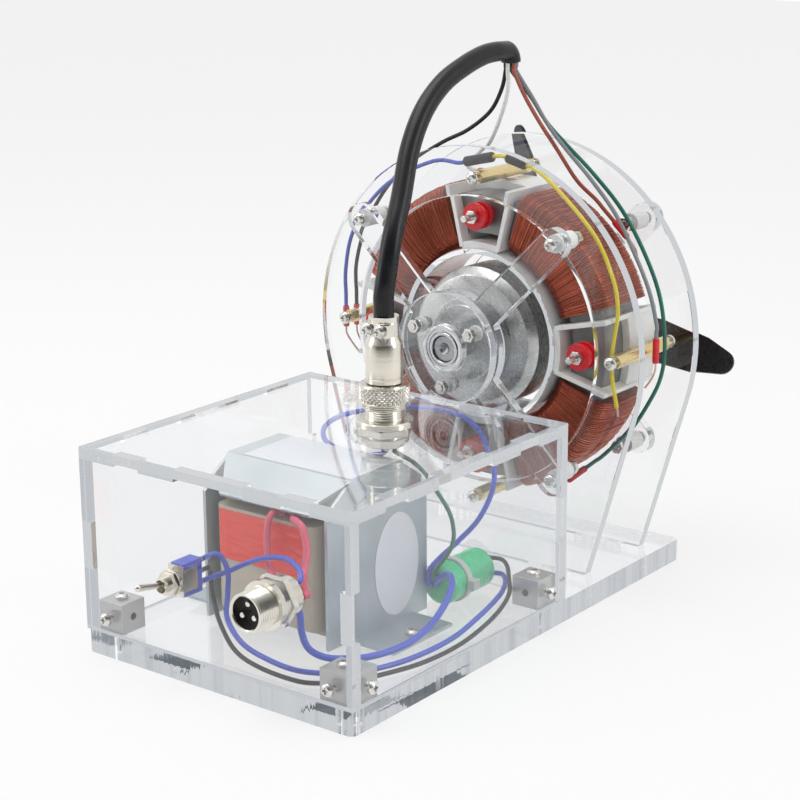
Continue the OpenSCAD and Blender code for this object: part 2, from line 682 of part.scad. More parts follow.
module corner_cubes() {
    color("#c9ccd0") at_corners() difference() {
        cube(cube_size - 2 * clear, center = true);
        cylinder(d = hole_d, h = cube_size + eps, center = true, $fn = 24);
        rotate([90, 0, 0]) cylinder(d = hole_d, h = cube_size + eps, center = true, $fn = 24);
        rotate([0, 90, 0]) cylinder(d = hole_d, h = cube_size + eps, center = true, $fn = 24);
    }
}

function foot_screw_x(s) = trafo_x + s * (trafo_half + foot_l * 0.75);

// Wall, cube, foot and clamp screws
module box_screws() {
    color("#d8d6cc") {
        for (sx = [-1, 1]) for (sy = [-1, 1]) {
            x = sx * (base_w / 2 - cube_inset);
            y = box_mid_y + sy * (box_l / 2 - cube_inset);
            translate([x, box_mid_y + sy * (box_l / 2 + clear), base_t + cube_size / 2])
                rotate([-sy * 90, 0, 0]) pan_screw(wall_t + cube_grip);
            translate([sx * (base_w / 2 + clear), y, base_t + cube_size / 2])
                rotate([0, sx * 90, 0]) pan_screw(wall_t + cube_grip);
            translate([x, y, base_t + cube_size]) pan_screw(cube_size + 6);
        }
        for (s = [-1, 1]) translate([foot_screw_x(s), trafo_y, base_t + trafo_t + clear])
            pan_screw(trafo_t + 6);
        for (s = [-1, 1]) translate([socket_x + s * clamp_screw_x,
            socket_y - clamp_half_y - clear, clamp_top - 5])
            rotate([90, 0, 0]) pan_screw(clamp_screw_l);
    }
}

// ---- Transformer ----

module trafo_side_plate() {
    side_h = trafo_h - trafo_t / 2;
    rotate([90, 0, 90]) linear_extrude(height = trafo_t) polygon([[-trafo_l / 2, 0],
        [-trafo_l / 2, side_h - crown_drop], [-crown_l / 2, side_h], [crown_l / 2, side_h],
        [trafo_l / 2, side_h - crown_drop], [trafo_l / 2, 0]]);
}

// A flange that slopes down from the edge of the flat top and narrows
module sloping_flange() {
    root = 0.15;
    translate([0, -crown_l / 2, -flange_sink]) rotate([slope_a, 0, 0]) translate([0, 0, -trafo_t])
        linear_extrude(height = trafo_t) polygon([[-trafo_half + clear, root],
            [trafo_half - clear, root], [trafo_half - clear, -1],
            [trafo_half - flange_in, -slope_l], [-trafo_half + flange_in, -slope_l],
            [-trafo_half + clear, -1]]);
}

module transformer_frame() {
    color("#bcc6ca") translate([trafo_x, trafo_y, base_t]) difference() {
        union() {
            translate([-trafo_half, 0, 0]) trafo_side_plate();
            translate([trafo_half - trafo_t, 0, 0]) trafo_side_plate();
            translate([-trafo_half, -crown_l / 2, trafo_h - trafo_t])
                cube([trafo_w, crown_l, trafo_t]);
            for (a = [0, 180]) rotate([0, 0, a]) translate([0, 0, trafo_h]) sloping_flange();
            for (s = [-1, 1]) translate([s * (trafo_half + foot_l / 2), 0, trafo_t / 2])
                cube([foot_l + 2 * trafo_t, foot_w, trafo_t], center = true);
        }
        for (s = [-1, 1]) translate([foot_screw_x(s) - trafo_x, 0, -eps])
            cylinder(d = hole_d, h = trafo_t + 2 * eps, $fn = 24);
    }
}

module transformer_core() {
    inner_w = trafo_w - 2 * trafo_t - 2 * clear;
    core_h = trafo_h - 2 * trafo_t;
    yoke_h = (core_h - block_h) / 2;
    overhang = max(0, (stack_t - crown_l) / 2);
    core_drop = flange_sink + overhang * crown_drop / slope_run + trafo_t / cos(slope_a) + clear;
    color("#4b4e52") translate([trafo_x, trafo_y, base_t + clear]) difference() {
        translate([-inner_w / 2, -stack_t / 2, 0])
            cube([inner_w, stack_t, trafo_h - core_drop - clear]);
        for (s = [-1, 1]) translate([s * (leg_w + window_w) / 2 - window_w / 2,
            -stack_t / 2 - eps, yoke_h]) cube([window_w, stack_t + 2 * eps, block_h]);
    }
}

// The beige wound block: front and rear parts joined through the core's windows
module transformer_bobbin() {
    yoke_h = (trafo_h - 2 * trafo_t - block_h) / 2;
    x0 = block_x[0];
    x1 = block_x[1];
    depth = block_y - stack_t / 2 - clear;
    edge_r = min(4, depth / 2);
    color("#d9cdb8") translate([trafo_x, trafo_y, 0]) {
        for (s = [-1, 1]) translate([0, s > 0 ? stack_t / 2 + clear : -block_y, block_z]) {
            translate([x0 + edge_r, 0, 0]) cube([x1 - x0 - 2 * edge_r, depth, block_h]);
            translate([x0, s > 0 ? 0 : edge_r, 0]) cube([x1 - x0, depth - edge_r, block_h]);
            for (x = [x0 + edge_r, x1 - edge_r])
                translate([x, s > 0 ? depth - edge_r : edge_r, 0]) cylinder(r = edge_r, h = block_h);
        }
        for (s = [-1, 1]) translate([s * (leg_w + window_w) / 2 - window_w / 2 + clear,
            -block_y + edge_r, base_t + yoke_h + 2 * clear])
            cube([window_w - 2 * clear, 2 * (block_y - edge_r), block_h - 8]);
    }
}

// Red tape around the upper half of the front of the block
module transformer_tape() {
    tape_w = 45;
    tape_h = 21;
    x0 = trafo_x - 26;
    color("#e0402f") translate([x0, block_front - tape_t - clear, block_top - tape_h - 1.5]) {
        translate([2, 0, 0]) cube([tape_w - 4, tape_t, tape_h]);
        translate([0, tape_t / 2, 1]) cube([tape_w, tape_t / 2, tape_h - 2]);
    }
}

// A blank printed label on the top and an oval one on the right side plate
module transformer_labels() {
    label_t = 0.25;
    oval_y = 14.5;
    oval_z = 22;
    color("#f6f6f4") {
        translate([trafo_x - trafo_half + 8, trafo_y - crown_l / 2 + 1, base_t + trafo_h + clear])
            cube([trafo_w - 9, crown_l - 2, label_t]);
        translate([trafo_x + trafo_half + clear, trafo_y + 9, base_t + 4 + oval_z])
            rotate([90, 0, 90]) linear_extrude(height = label_t)
                polygon([for (a = [0:10:350]) [oval_y * cos(a), oval_z * sin(a)]]);
    }
}

module transformer_leads() {
    color("#e2506a") {
        wire(left_lead, 2, lead_r);
        wire(right_lead, 2, lead_r);
    }
}

// ---- Inlet, switch, capacitor ----

module along_inlet(y) {
    translate([inlet_x, y, inlet_h]) along_y() children();
}

module inlet_shell() {
    bore_d = thread_d - 3;
    color("#c9c4b4") difference() {
        union() {
            along_inlet(inlet_face) cylinder(d = thread_d, h = inlet_back - inlet_face);
            along_inlet(front_y - 2.5 - clear) cylinder(d = thread_d + 4, h = 2.5);
        }
        along_inlet(inlet_face - eps) cylinder(d = bore_d, h = inlet_back - inlet_face + 2 * eps);
    }
}

// Black insert with its key and the holes of its three pins
module inlet_insert() {
    insert_d = thread_d - 3 - 2 * clear;
    color("#17171a") difference() {
        union() {
            along_inlet(inlet_face + 4) cylinder(d = insert_d, h = inlet_back - inlet_face - 4);
            along_inlet(inlet_face + 1) translate([-1.2, -insert_d / 2 + 0.3, 0])
                cube([2.4, 1.8, 4]);
        }
        for (a = [90, 210, 330]) along_inlet(inlet_face) rotate([0, 0, -a])
            translate([pin_circle, 0, -eps])
                cylinder(d = pin_d + 2 * clear, h = inlet_back - inlet_face + 2 * eps, $fn = 24);
    }
}

module contact_pins() {
    color("#d9d2b8") {
        for (a = [90, 210, 330]) along_inlet(inlet_face + 1.5) rotate([0, 0, -a])
            translate([pin_circle, 0, 0]) cylinder(d = pin_d, h = pin_tail - inlet_face - 1.5, $fn = 24);
        for (k = [-1, 0, 1])
            translate([switch_x - 0.4, switch_back + clear, switch_h + k * tag_step - 1.2])
                cube([0.8, tag_l - clear, 2.4]);
        for (sx = [-1, 1]) for (sy = [-1, 1])
            translate([socket_x + sx * socket_pin, socket_y + sy * socket_pin,
                socket_bottom - socket_pin_l])
                cylinder(d = pin_d, h = socket_pin_l - clear, $fn = 24);
    }
}

module socket_nuts() {
    color("#cfcabb") {
        along_inlet(front_y + wall_t + clear) hex_nut(19, 3, thread_d + 2 * clear);
        translate([socket_x, socket_y, lid_top + clear]) hex_nut(21, socket_nut_t, thread_d + 2 * clear);
    }
}

module switch_body() {
    color("#3a49b8") translate([switch_x - switch_w / 2 + bracket_t, switch_back - switch_body_l,
        switch_h - switch_body_h / 2]) cube([switch_w - 2 * bracket_t, switch_body_l, switch_body_h]);
}

// Steel bracket around the body, the threaded bushing, and its two nuts
module switch_frame() {
    plate_h = switch_body_h - 1;
    color("#c6c3b6") {
        difference() {
            union() {
                translate([switch_x - switch_w / 2, front_y + wall_t + clear, switch_h - plate_h / 2])
                    cube([switch_w, bracket_t - 2 * clear, plate_h]);
                for (s = [-1, 1])
                    translate([switch_x + s * (switch_w / 2 - bracket_t / 2 + clear) - bracket_t / 2,
                        front_y + wall_t + clear, switch_h - 4.5])
                        cube([bracket_t - clear, switch_body_l * 0.75, 9]);
                translate([switch_x, front_y - 6, switch_h]) along_y()
                    cylinder(d = bushing_d, h = 6 + wall_t + bracket_t / 2);
            }
            translate([switch_x, front_y - 6 - eps, switch_h]) along_y()
                cylinder(r = ball_r + run_gap, h = 9 + eps, $fn = 32);
            translate([switch_x, front_y - 6 - eps, switch_h]) along_y()
                cylinder(r1 = 2.9, r2 = ball_r, h = 3 + eps, $fn = 32);
        }
        translate([switch_x, front_y - 3.2, switch_h]) along_y()
            hex_nut(9, 2.2, bushing_d + 2 * clear);
        translate([switch_x, front_y - 0.8, switch_h]) along_y() difference() {
            cylinder(d = 11, h = 0.8 - clear);
            translate([0, 0, -eps]) cylinder(d = bushing_d + 2 * clear, h = 3);
        }
    }
}

// The lever turns up and down about its ball; it rests tilted up, as switched on
module switch_lever() {
    tilt = 12;
    barrel_part = 0.85;
    color("#cbc4ae") translate([switch_x, pivot_y, switch_h]) rotate([90 - tilt, 0, 0]) {
        intersection() {
            sphere(r = ball_r, $fn = 32);
            rotate([0, 90, 0]) cylinder(r = barrel_part * ball_r, h = 3 * ball_r, center = true, $fn = 32);
        }
        cylinder(d1 = 2, d2 = 3, h = lever_l - 1.5, $fn = 24);
        translate([0, 0, lever_l - 1.5]) sphere(d = 3, $fn = 24);
    }
}

module capacitor() {
    color("#35c47c") translate([cap_x, cap_y, cap_z]) along_y() {
        cylinder(d = cap_d, h = cap_l);
        translate([0, 0, -1.2]) cylinder(d = cap_d - 3, h = 1.2 + eps);
        translate([0, 0, cap_l - eps]) cylinder(d = cap_d - 3, h = 1 + eps);
    }
}

module cable_tie() {
    tie_y = cap_y + 8;
    color("#eef2f0") {
        translate([cap_x, tie_y, cap_z]) along_y() difference() {
            cylinder(r = cap_d / 2 + clear + tie_t, h = tie_w);
            translate([0, 0, -eps]) cylinder(r = cap_d / 2 + clear, h = tie_w + 2 * eps);
        }
        translate([cap_x + cap_d / 2 + tie_t / 2, tie_y - 0.75, cap_z - 2]) cube([3.5, tie_w + 1.5, 4]);
    }
}

// ---- Lid socket, plug and cable ----

module at_socket(z) {
    translate([socket_x, socket_y, z]) children();
}

module lid_socket() {
    color("#cbc6b6") {
        difference() {
            at_socket(socket_bottom) cylinder(d = thread_d, h = socket_top - socket_bottom);
            at_socket(socket_top - 4) cylinder(d = thread_d - 3, h = 4 + eps);
        }
        at_socket(lid_top + socket_nut_t + 2 * clear) cylinder(d = 24, h = socket_nut_t);
        at_socket(wall_top - 2 - clear) cylinder(d = 20, h = 2);
    }
}

// The plug's shell: a flange that the ring pulls down, a neck, and the smooth barrel
module plug_barrel() {
    color("#d2cdbd") {
        at_socket(socket_top + clear) cylinder(r = thread_d / 2 - 0.3, h = 1.5);
        at_socket(socket_top + 1) cylinder(r = neck_r, h = barrel_top - socket_top - 1);
        at_socket(ring_top + 0.3) cylinder(r = barrel_r, h = barrel_top - ring_top - 0.3);
    }
}

// Saddle clamp that grips the cable above the barrel
module plug_clamp() {
    color("#ccc7b7") {
        difference() {
            union() {
                at_socket(barrel_top + clear) cylinder(r1 = barrel_r, r2 = 6.2, h = 3);
                at_socket(barrel_top + 3) cylinder(r = 6.2, h = clamp_top - barrel_top - 3 - clear);
                at_socket(clamp_top - 5) translate([-7, -clamp_half_y, -2.6])
                    cube([14, clamp_half_y, 5.2]);
            }
            for (s = [-1, 1]) at_socket(clamp_top - 5) translate([s * clamp_screw_x,
                -clamp_half_y - eps, 0]) rotate([-90, 0, 0])
                cylinder(d = hole_d, h = clamp_screw_l + eps + 0.2, $fn = 24);
        }
    }
}

// Knurled ring that turns about the plug: the lip on top holds the plug's flange
module coupling_ring() {
    knurls = 40;
    color("#d6d1c2") at_socket(ring_z) difference() {
        cylinder(d = ring_d, h = ring_l, $fn = 96);
        translate([0, 0, -eps])
            cylinder(r = thread_d / 2 + run_gap, h = ring_l - lip_t + eps, $fn = 64);
        translate([0, 0, -eps]) cylinder(r = neck_r + run_gap, h = ring_l + 2 * eps, $fn = 64);
        for (k = [0:knurls - 1]) rotate([0, 0, k * 360 / knurls])
            translate([ring_d / 2, 0, 1]) rotate([0, 0, 45]) translate([-0.3, -0.3, 0])
                cube([0.6, 0.6, ring_l - 2]);
    }
}

// The cable's route with its last quarter turn, which ends facing down
function cable_points() = concat(rounded(cable_route, 3),
    [for (a = [18:18:90]) [cable_end_x, cable_end_y - cable_turn * (1 - sin(a)) ,
        cable_end_z + cable_turn * cos(a)]]);

module motor_cable() {
    color("#202124") tube(cable_points(), cable_r, 12);
}

module blue_wires() {
    color("#3b50c8") {
        wire(blue_switch_wire, 2, thin_wire_r);
        wire(blue_inlet_wire, 2, thick_wire_r);
        wire(blue_cross_wire, 2, thin_wire_r);
        wire(blue_lid_wire, 2, thin_wire_r);
        wire(blue_lead, 3, core_wire_r);
    }
}

module black_wires() {
    color("#2b2b2e") {
        wire(black_switch_wire, 2, black_wire_r);
        wire(black_core, 2, core_wire_r);
    }
}

module green_wires() {
    color("#2f6f5b") {
        wire(green_lid_wire, 2, thin_wire_r - 0.2);
        wire(green_core, 2, core_wire_r);
    }
}

// White, brown and grey cores of the cable
module cable_cores() {
    color("#f0f0ee") wire(white_core, 2, core_wire_r);
    color("#b0523c") wire(brown_core, 2, core_wire_r);
    color("#8b8f94") wire(grey_core, 2, core_wire_r);
}

module yellow_wire() {
    color("#e8cf1c") {
        wire(yellow_link, 2, core_wire_r);
        wire(yellow_lead, 3, core_wire_r);
    }
}

module lead_sleeves() {
    for (s = sleeves) color(s[3]) rod_between(s[0], s[1], s[2]);
}

module copper_tails() {
    color("#b0552f") {
        for (t = tails) wire(t, 2, tail_r, 6);
        wire(bare_tip, 2, core_wire_r * 0.7, 6);
    }
}

// ---- Motor frame ----

// One plate, its front face at y, with its window, tenons and screw holes
module motor_plate(y) {
    touch = [plate_r * cos(tangent_angle), plate_r * sin(tangent_angle) + axis_h];
    color("#f2f7fa") difference() {
        union() {
            axial(plate_r, y, y + plate_t);
            translate([0, y + plate_t, 0]) rotate([90, 0, 0]) linear_extrude(height = plate_t)
                polygon([[-foot_half, base_t], [foot_half, base_t], touch, [0, axis_h],
                    [-touch[0], touch[1]]]);
            for (s = [-1, 1]) translate([s * tenon_x - tenon_w / 2, y, 0])
                cube([tenon_w, plate_t, base_t + eps]);
        }
        axial(window_r, y - eps, y + plate_t + eps);
        for (a = concat(quarter, corners)) on_circle(bolt_r, a, y - eps) along_y()
            cylinder(d = hole_d, h = plate_t + 2 * eps, $fn = 24);
    }
}

module front_plate() {
    motor_plate(front_in - plate_t);
}

module rear_plate() {
    motor_plate(rear_in);
}

module brass_standoffs() {
    thread_l = 8;
    color("#c8a24a") for (a = quarter) on_circle(bolt_r, a, front_in + clear) along_y() difference() {
        cylinder(d = standoff_af / cos(30), h = plate_gap - 2 * clear, $fn = 6);
        for (z = [-eps, plate_gap - thread_l]) translate([0, 0, z])
            cylinder(d = hole_d, h = thread_l + eps, $fn = 24);
    }
}

// Length of a spacer screw: spider, spacer, plate, nut
spacer_screw_l = hub_t + spacer_l + plate_t + nut_t + 0.6;
// Length of a hub screw: spider, washer, disc, nut
hub_screw_l = 2 * hub_t + washer_t + nut_t + 0.6;

// Mirrors its children to the motor's other side as well
module both_sides() {
    translate([0, motor_y, 0]) children();
    translate([0, motor_y, 0]) mirror([0, 1, 0]) children();
}

module frame_screws() {
    color("#d6d3c6") {
        both_sides() {
            for (a = quarter) on_circle(bolt_r, a, -frame_half - clear)
                rotate([90, 0, 0]) pan_screw(plate_t + 6);
            for (a = corners) on_circle(bolt_r, a, -spider_out - clear)
                rotate([90, 0, 0]) pan_screw(spacer_screw_l);
        }
        for (y = [motor_y - spider_in, motor_y + disc_out]) for (a = hub_angles)
            on_circle(hub_screw_r, a, y + clear) along_y() pan_screw(hub_screw_l);
    }
}

module frame_nuts() {
    nut_play = 2 * clear;
    color("#cfccbf") {
        both_sides() for (a = corners) on_circle(bolt_r, a, -plate_gap / 2 + clear)
            along_y() hex_nut(nut_af, nut_t, screw_d + nut_play);
        for (y = [motor_y - disc_out, motor_y + spider_in]) for (a = hub_angles)
            on_circle(hub_screw_r, a, y - nut_t - clear) along_y()
                hex_nut(nut_af, nut_t, screw_d + nut_play);
    }
}

// White spacers under the spiders' arms and thin washers behind the bearing discs
module nylon_spacers() {
    color("#f4f4f0") both_sides() {
        for (a = corners) on_circle(bolt_r, a, -spider_in + clear) along_y() difference() {
            cylinder(d = spacer_d, h = spacer_l - 2 * clear);
            translate([0, 0, -eps]) cylinder(d = hole_d, h = spacer_l + 2 * eps, $fn = 24);
        }
    }
    color("#f4f4f0") for (s = [-1, 1]) for (a = hub_angles)
        on_circle(hub_screw_r, a, motor_y + s * (spider_out + washer_t / 2)) along_y() difference() {
            cylinder(d = 7, h = washer_t - 2 * clear, center = true);
            cylinder(d = hole_d, h = washer_t + eps, center = true, $fn = 24);
        }
}

// Outline of a spider: four round-ended arms and the arcs of the hub between them
arc_parts = 12;
arm_root = asin(arm_w / 2 / hub_r);
arc_step = (90 - 2 * arm_root) / arc_parts;
spider_outline = [for (a = corners) each concat(
    [for (t = [-90:10:90]) bolt_r * [cos(a), sin(a)] + arm_w / 2 * [cos(a + t), sin(a + t)]],
    [for (k = [0:arc_parts]) let (t = a + arm_root + k * arc_step) hub_r * [cos(t), sin(t)]])];

// Four arms on a hub, the front face at y
module spider(y) {
    color("#f2f7fa") difference() {
        translate([0, y + hub_t, axis_h]) rotate([90, 0, 0])
            linear_extrude(height = hub_t) polygon(spider_outline);
        axial(shaft_d / 2 + 1.5, y - eps, y + hub_t + eps);
        for (a = corners) on_circle(bolt_r, a, y - eps) along_y()
            cylinder(d = hole_d, h = hub_t + 2 * eps, $fn = 24);
        for (a = hub_angles) on_circle(hub_screw_r, a, y - eps) along_y()
            cylinder(d = hole_d, h = hub_t + 2 * eps, $fn = 24);
    }
}

module front_spider() {
    spider(motor_y - spider_out);
}

module rear_spider() {
    spider(motor_y + spider_in);
}

// Round disc that holds a bearing, its front face at y
module bearing_disc(y) {
    color("#f2f7fa") difference() {
        axial(hub_r, y, y + hub_t);
        axial(bearing_d / 2 + clear, y - eps, y + hub_t + eps);
        for (a = hub_angles) on_circle(hub_screw_r, a, y - eps) along_y()
            cylinder(d = hole_d, h = hub_t + 2 * eps, $fn = 24);
    }
}

module front_disc() {
    bearing_disc(motor_y - disc_out);
}

module rear_disc() {
    bearing_disc(motor_y + disc_in);
}

// ---- Stator ----

module stator_core() {
    color("#55585c") difference() {
        axial_ring(core_ri, core_ro, motor_y - core_l / 2, motor_y + core_l / 2);
        for (a = quarter) on_circle(core_bolt_r, a, motor_y - core_l / 2 - eps) along_y()
            cylinder(d = hole_d, h = core_l + 2 * eps, $fn = 24);
    }
}

// A sector of the ring between two radii, centred on this angle
module sector(angle, span, r0, r1, half_l, mid_y = motor_y) {
    translate([0, mid_y, axis_h]) rotate([90, 0, 0]) rotate([0, 0, angle - span / 2])
        rotate_extrude(angle = span, $fn = 96)
            translate([r0, -half_l]) square([r1 - r0, 2 * half_l]);
}

// The plain copper body of each coil, under its outer turns and around the core
// A part of a ring whose inner and outer corners are cut off by these lengths
module chamfered_sector(angle, r0, r1, half_l, cut_in, cut_out) {
    h = half_l;
    outer = cut_out > 0
        ? [[r1 - cut_out, -h], [r1, cut_out - h], [r1, h - cut_out], [r1 - cut_out, h]]
        : [[r1, -h], [r1, h]];
    translate([0, motor_y, axis_h]) rotate([90, 0, 0]) rotate([0, 0, angle - wind_span / 2])
        rotate_extrude(angle = wind_span, $fn = 96)
            polygon(concat([[r0 + cut_in, -h]], outer,
                [[r0 + cut_in, h], [r0, h - cut_in], [r0, cut_in - h]]));
}

module coil_cores() {
    wall_in = wind_in + wind_r + pad_gap;
    wall_out = wind_out - wind_r - pad_gap;
    half_l = wind_side - wind_r - pad_gap;
    cut = 1.7;             // chamfer that clears the round corners of the turns
    color("#8a3d22") for (a = corners) difference() {
        chamfered_sector(a, wall_in, wall_out, half_l, cut, cut);
        axial(core_ro + clear, motor_y - core_l / 2 - clear, motor_y + core_l / 2 + clear);
    }
    color("#8a3d22") for (a = corners)
        chamfered_sector(a, wall_in, core_ri - 3 * clear, half_l, cut, 0);
}

// Corners of one turn in the plane of radius and Y, from the outer face round to it again
turn_corners = [[wind_out - bend_r, wind_side - bend_r, 0], [wind_in + bend_r, wind_side - bend_r, 90],
    [wind_in + bend_r, -wind_side + bend_r, 180], [wind_out - bend_r, -wind_side + bend_r, 270]];
turn_points = [for (c = turn_corners) for (a = [0, 45, 90])
    [c[0] + bend_r * cos(c[2] + a), c[1] + bend_r * sin(c[2] + a)]];

// A point of a winding from its angle, radius and distance from the middle plane
function stator_point(angle, r, y) = [r * cos(angle), motor_y + y, axis_h + r * sin(angle)];

// A winding: it comes straight off the cheek, turns into its loops and leaves the same way
function winding_points(angle) =
    let (start = angle - wind_span / 2 + wind_r * 180 / (PI * wind_in),
        span = wind_span - 2 * wind_r * 180 / (PI * wind_in),
        n = len(turn_points),
        lead = 2.4 * 180 / (PI * wind_out),
        reach = 45 - cheek_angle - wind_span / 2
            - asin((cheek_t / 2 + 0.1) / wind_out) + wind_r * 180 / (PI * wind_in))
    concat([stator_point(start - reach, wind_out, 0), stator_point(start - lead, wind_out, 0),
        stator_point(start, wind_out, 2.4)],
        [for (loop = [0:loops - 1]) for (k = [0:n - 1])
            stator_point(start + span * (loop + (k + 0.5) / n) / loops,
                turn_points[k][0], turn_points[k][1])],
        [stator_point(start + span, wind_out, -2.4), stator_point(start + span + lead, wind_out, 0),
            stator_point(start + span + reach, wind_out, 0)]);

module winding(angle) {
    color("#b0552f") tube(winding_points(angle), wind_r, 6, [cos(angle), 0, sin(angle)]);
}

// Least gap between two loops of one winding, measured on the points of its path
sample = winding_points(45);
loop_gap = min([for (i = [0:len(sample) - 1]) for (j = [i + 7:1:len(sample) - 1])
    norm(sample[i] - sample[j])]) - wind_d;
echo(least_gap_between_loops = loop_gap);

module upper_right_winding() {
    winding(45);
}

module upper_left_winding() {
    winding(135);
}

module lower_left_winding() {
    winding(225);
}

module lower_right_winding() {
    winding(315);
}

// A cheek: a frame around the core in a radial plane
module cheek(angle) {
    translate([0, motor_y, axis_h]) rotate([0, -angle, 0])
        translate([liner_ro + 1, -cheek_half, -cheek_t / 2])
            cube([cheek_out - liner_ro - 1, 2 * cheek_half, cheek_t]);
}

// White holders: two cheeks, an inner wall on the liner, an outer block at the back
module core_holders() {
    color("#f3f3ef") for (q = quarter) difference() {
        union() {
            for (s = [-1, 1]) cheek(q + s * cheek_angle);
            sector(q, 2 * cheek_angle, liner_ro + clear, liner_ro + 3, cheek_half - 0.3);
            sector(q, 2 * cheek_angle, core_ro - 0.5, cheek_out - 1.2, cheek_half / 2,
                motor_y + cheek_half / 2 - 0.3);
        }
        axial_ring(core_ri - clear, core_ro + clear, motor_y - core_l / 2 - clear,
            motor_y + core_l / 2 + clear);
    }
}

module stator_liner() {
    color("#f4f8fb") axial_ring(liner_ri, liner_ro, motor_y - cheek_half, motor_y + cheek_half);
}

// Red collars with two flanges, on the core bolts
module terminal_collars() {
    flange_t = 1.8;
    color("#d81f2a") both_sides() for (a = quarter)
        on_circle(core_bolt_r, a, -core_l / 2 - collar_l + clear) along_y() difference() {
            union() {
                cylinder(d = collar_d * 0.72, h = collar_l - 2 * clear);
                cylinder(d = collar_d, h = flange_t);
                translate([0, 0, collar_l - 3 * flange_t]) cylinder(d = collar_d, h = flange_t);
            }
            translate([0, 0, -eps]) cylinder(d = hole_d, h = collar_l + 2 * eps, $fn = 24);
        }
}

// Threaded bolts through the core, each with a nut at both ends
module core_bolts() {
    color("#cdcabd") {
        for (a = quarter) on_circle(core_bolt_r, a, motor_y - core_bolt_half) along_y()
            cylinder(d = screw_d, h = 2 * core_bolt_half, $fn = 24);
        both_sides() for (a = quarter)
            on_circle(core_bolt_r, a, -core_l / 2 - collar_l - nut_t) along_y()
                hex_nut(nut_af, nut_t - clear, screw_d + 2 * clear);
    }
}

// ---- Shaft, bearings, rotor, fan ----

module bearing_outer_rings() {
    color("#c2c4c6") for (y = bearing_y)
        axial_ring(inner_ring_r + run_gap, bearing_d / 2, y - bearing_w / 2, y + bearing_w / 2);
}

module bearing_inner_rings() {
    color("#d4d6d8") for (y = bearing_y)
        axial_ring(shaft_d / 2 + clear, inner_ring_r, y - bearing_w / 2, y + bearing_w / 2);
}

module shaft() {
    color("#6d7074") axial(shaft_d / 2, shaft_front, shaft_back);
}

// Laminations between two cast end rings, on a hub
module rotor() {
    end_r = rotor_r - 3;
    bore_r = shaft_d / 2 + clear;
    color("#aeb1b4") difference() {
        union() {
            axial(rotor_r, rotor_y + end_ring_l, rotor_y + end_ring_l + rotor_l);
            for (y = [rotor_y, rotor_end - end_ring_l]) axial(end_r, y, y + end_ring_l);
            axial(rotor_hub_r, rotor_y - 5, rotor_end + 5);
        }
        axial(bore_r, rotor_y - 5 - eps, rotor_end + 5 + eps);
        axial_ring(rotor_hub_r - 3, rotor_hub_r + 2, rotor_y - 1, rotor_y + 2);
    }
}

// Outline of a blade, along X from the hub, with a rounded tip
blade_root_w = 10;
blade_tip_r = 5.5;
blade_wide_at = 50;
blade_outline = concat([[fan_hub_r - 2, -blade_root_w / 2], [26, -blade_w * 0.36],
    [38, -blade_w * 0.47], [blade_wide_at, -blade_w / 2], [fan_r * 0.82, -blade_w * 0.42]],
    [for (a = [-75:15:75]) [fan_r - blade_tip_r + blade_tip_r * cos(a), blade_tip_r * sin(a)]],
    [[fan_r * 0.82, blade_w * 0.42], [blade_wide_at, blade_w / 2], [38, blade_w * 0.47],
        [26, blade_w * 0.36], [fan_hub_r - 2, blade_root_w / 2]]);

module fan() {
    color("#1b1b1d") difference() {
        union() {
            axial(fan_hub_r, fan_y, fan_y + fan_hub_l);
            for (k = [0:blade_n - 1]) translate([0, blade_mid, axis_h])
                rotate([0, -blade_start - k * 360 / blade_n, 0]) rotate([90 - blade_pitch, 0, 0])
                    translate([0, 0, -blade_t / 2]) linear_extrude(height = blade_t)
                        polygon(blade_outline);
        }
        axial(shaft_d / 2 + clear, fan_y - eps, fan_y + fan_hub_l + eps);
    }
}

base_plate();
front_wall();
rear_wall();
left_wall();
right_wall();
box_lid();
corner_cubes();
box_screws();
transformer_frame();
transformer_core();
transformer_bobbin();
transformer_tape();
transformer_labels();
transformer_leads();
inlet_shell();
inlet_insert();
contact_pins();
socket_nuts();
switch_body();
switch_frame();
switch_lever();
capacitor();
cable_tie();
lid_socket();
plug_barrel();
plug_clamp();
coupling_ring();
motor_cable();
blue_wires();
black_wires();
green_wires();
cable_cores();
yellow_wire();
lead_sleeves();
copper_tails();
front_plate();
rear_plate();
stator_core();
coil_cores();
upper_right_winding();
upper_left_winding();
lower_left_winding();
lower_right_winding();
core_holders();
stator_liner();
terminal_collars();
core_bolts();
brass_standoffs();
frame_screws();
frame_nuts();
nylon_spacers();
front_spider();
rear_spider();
front_disc();
rear_disc();
bearing_outer_rings();
bearing_inner_rings();
shaft();
rotor();
fan();
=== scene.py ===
# %% [markdown]
# # A demonstration motor in clear sheet, dressed in Blender
# The real thing is a teaching model: a clear control box feeds four copper coils that
# stand between two clear plates and turn a steel rotor with a black fan. The packed
# model gives every plate, screw and shaft at its true size. This script keeps the
# shapes that are right, gives them real finishes, and builds again what a CAD solid
# can't show: wire, threads, knurls and tape. The labels keep their CAD shape and get a finish.

# %% Load the imported model
import json
import math
import random

import bmesh
import bpy
from mathutils import Matrix, Vector, noise


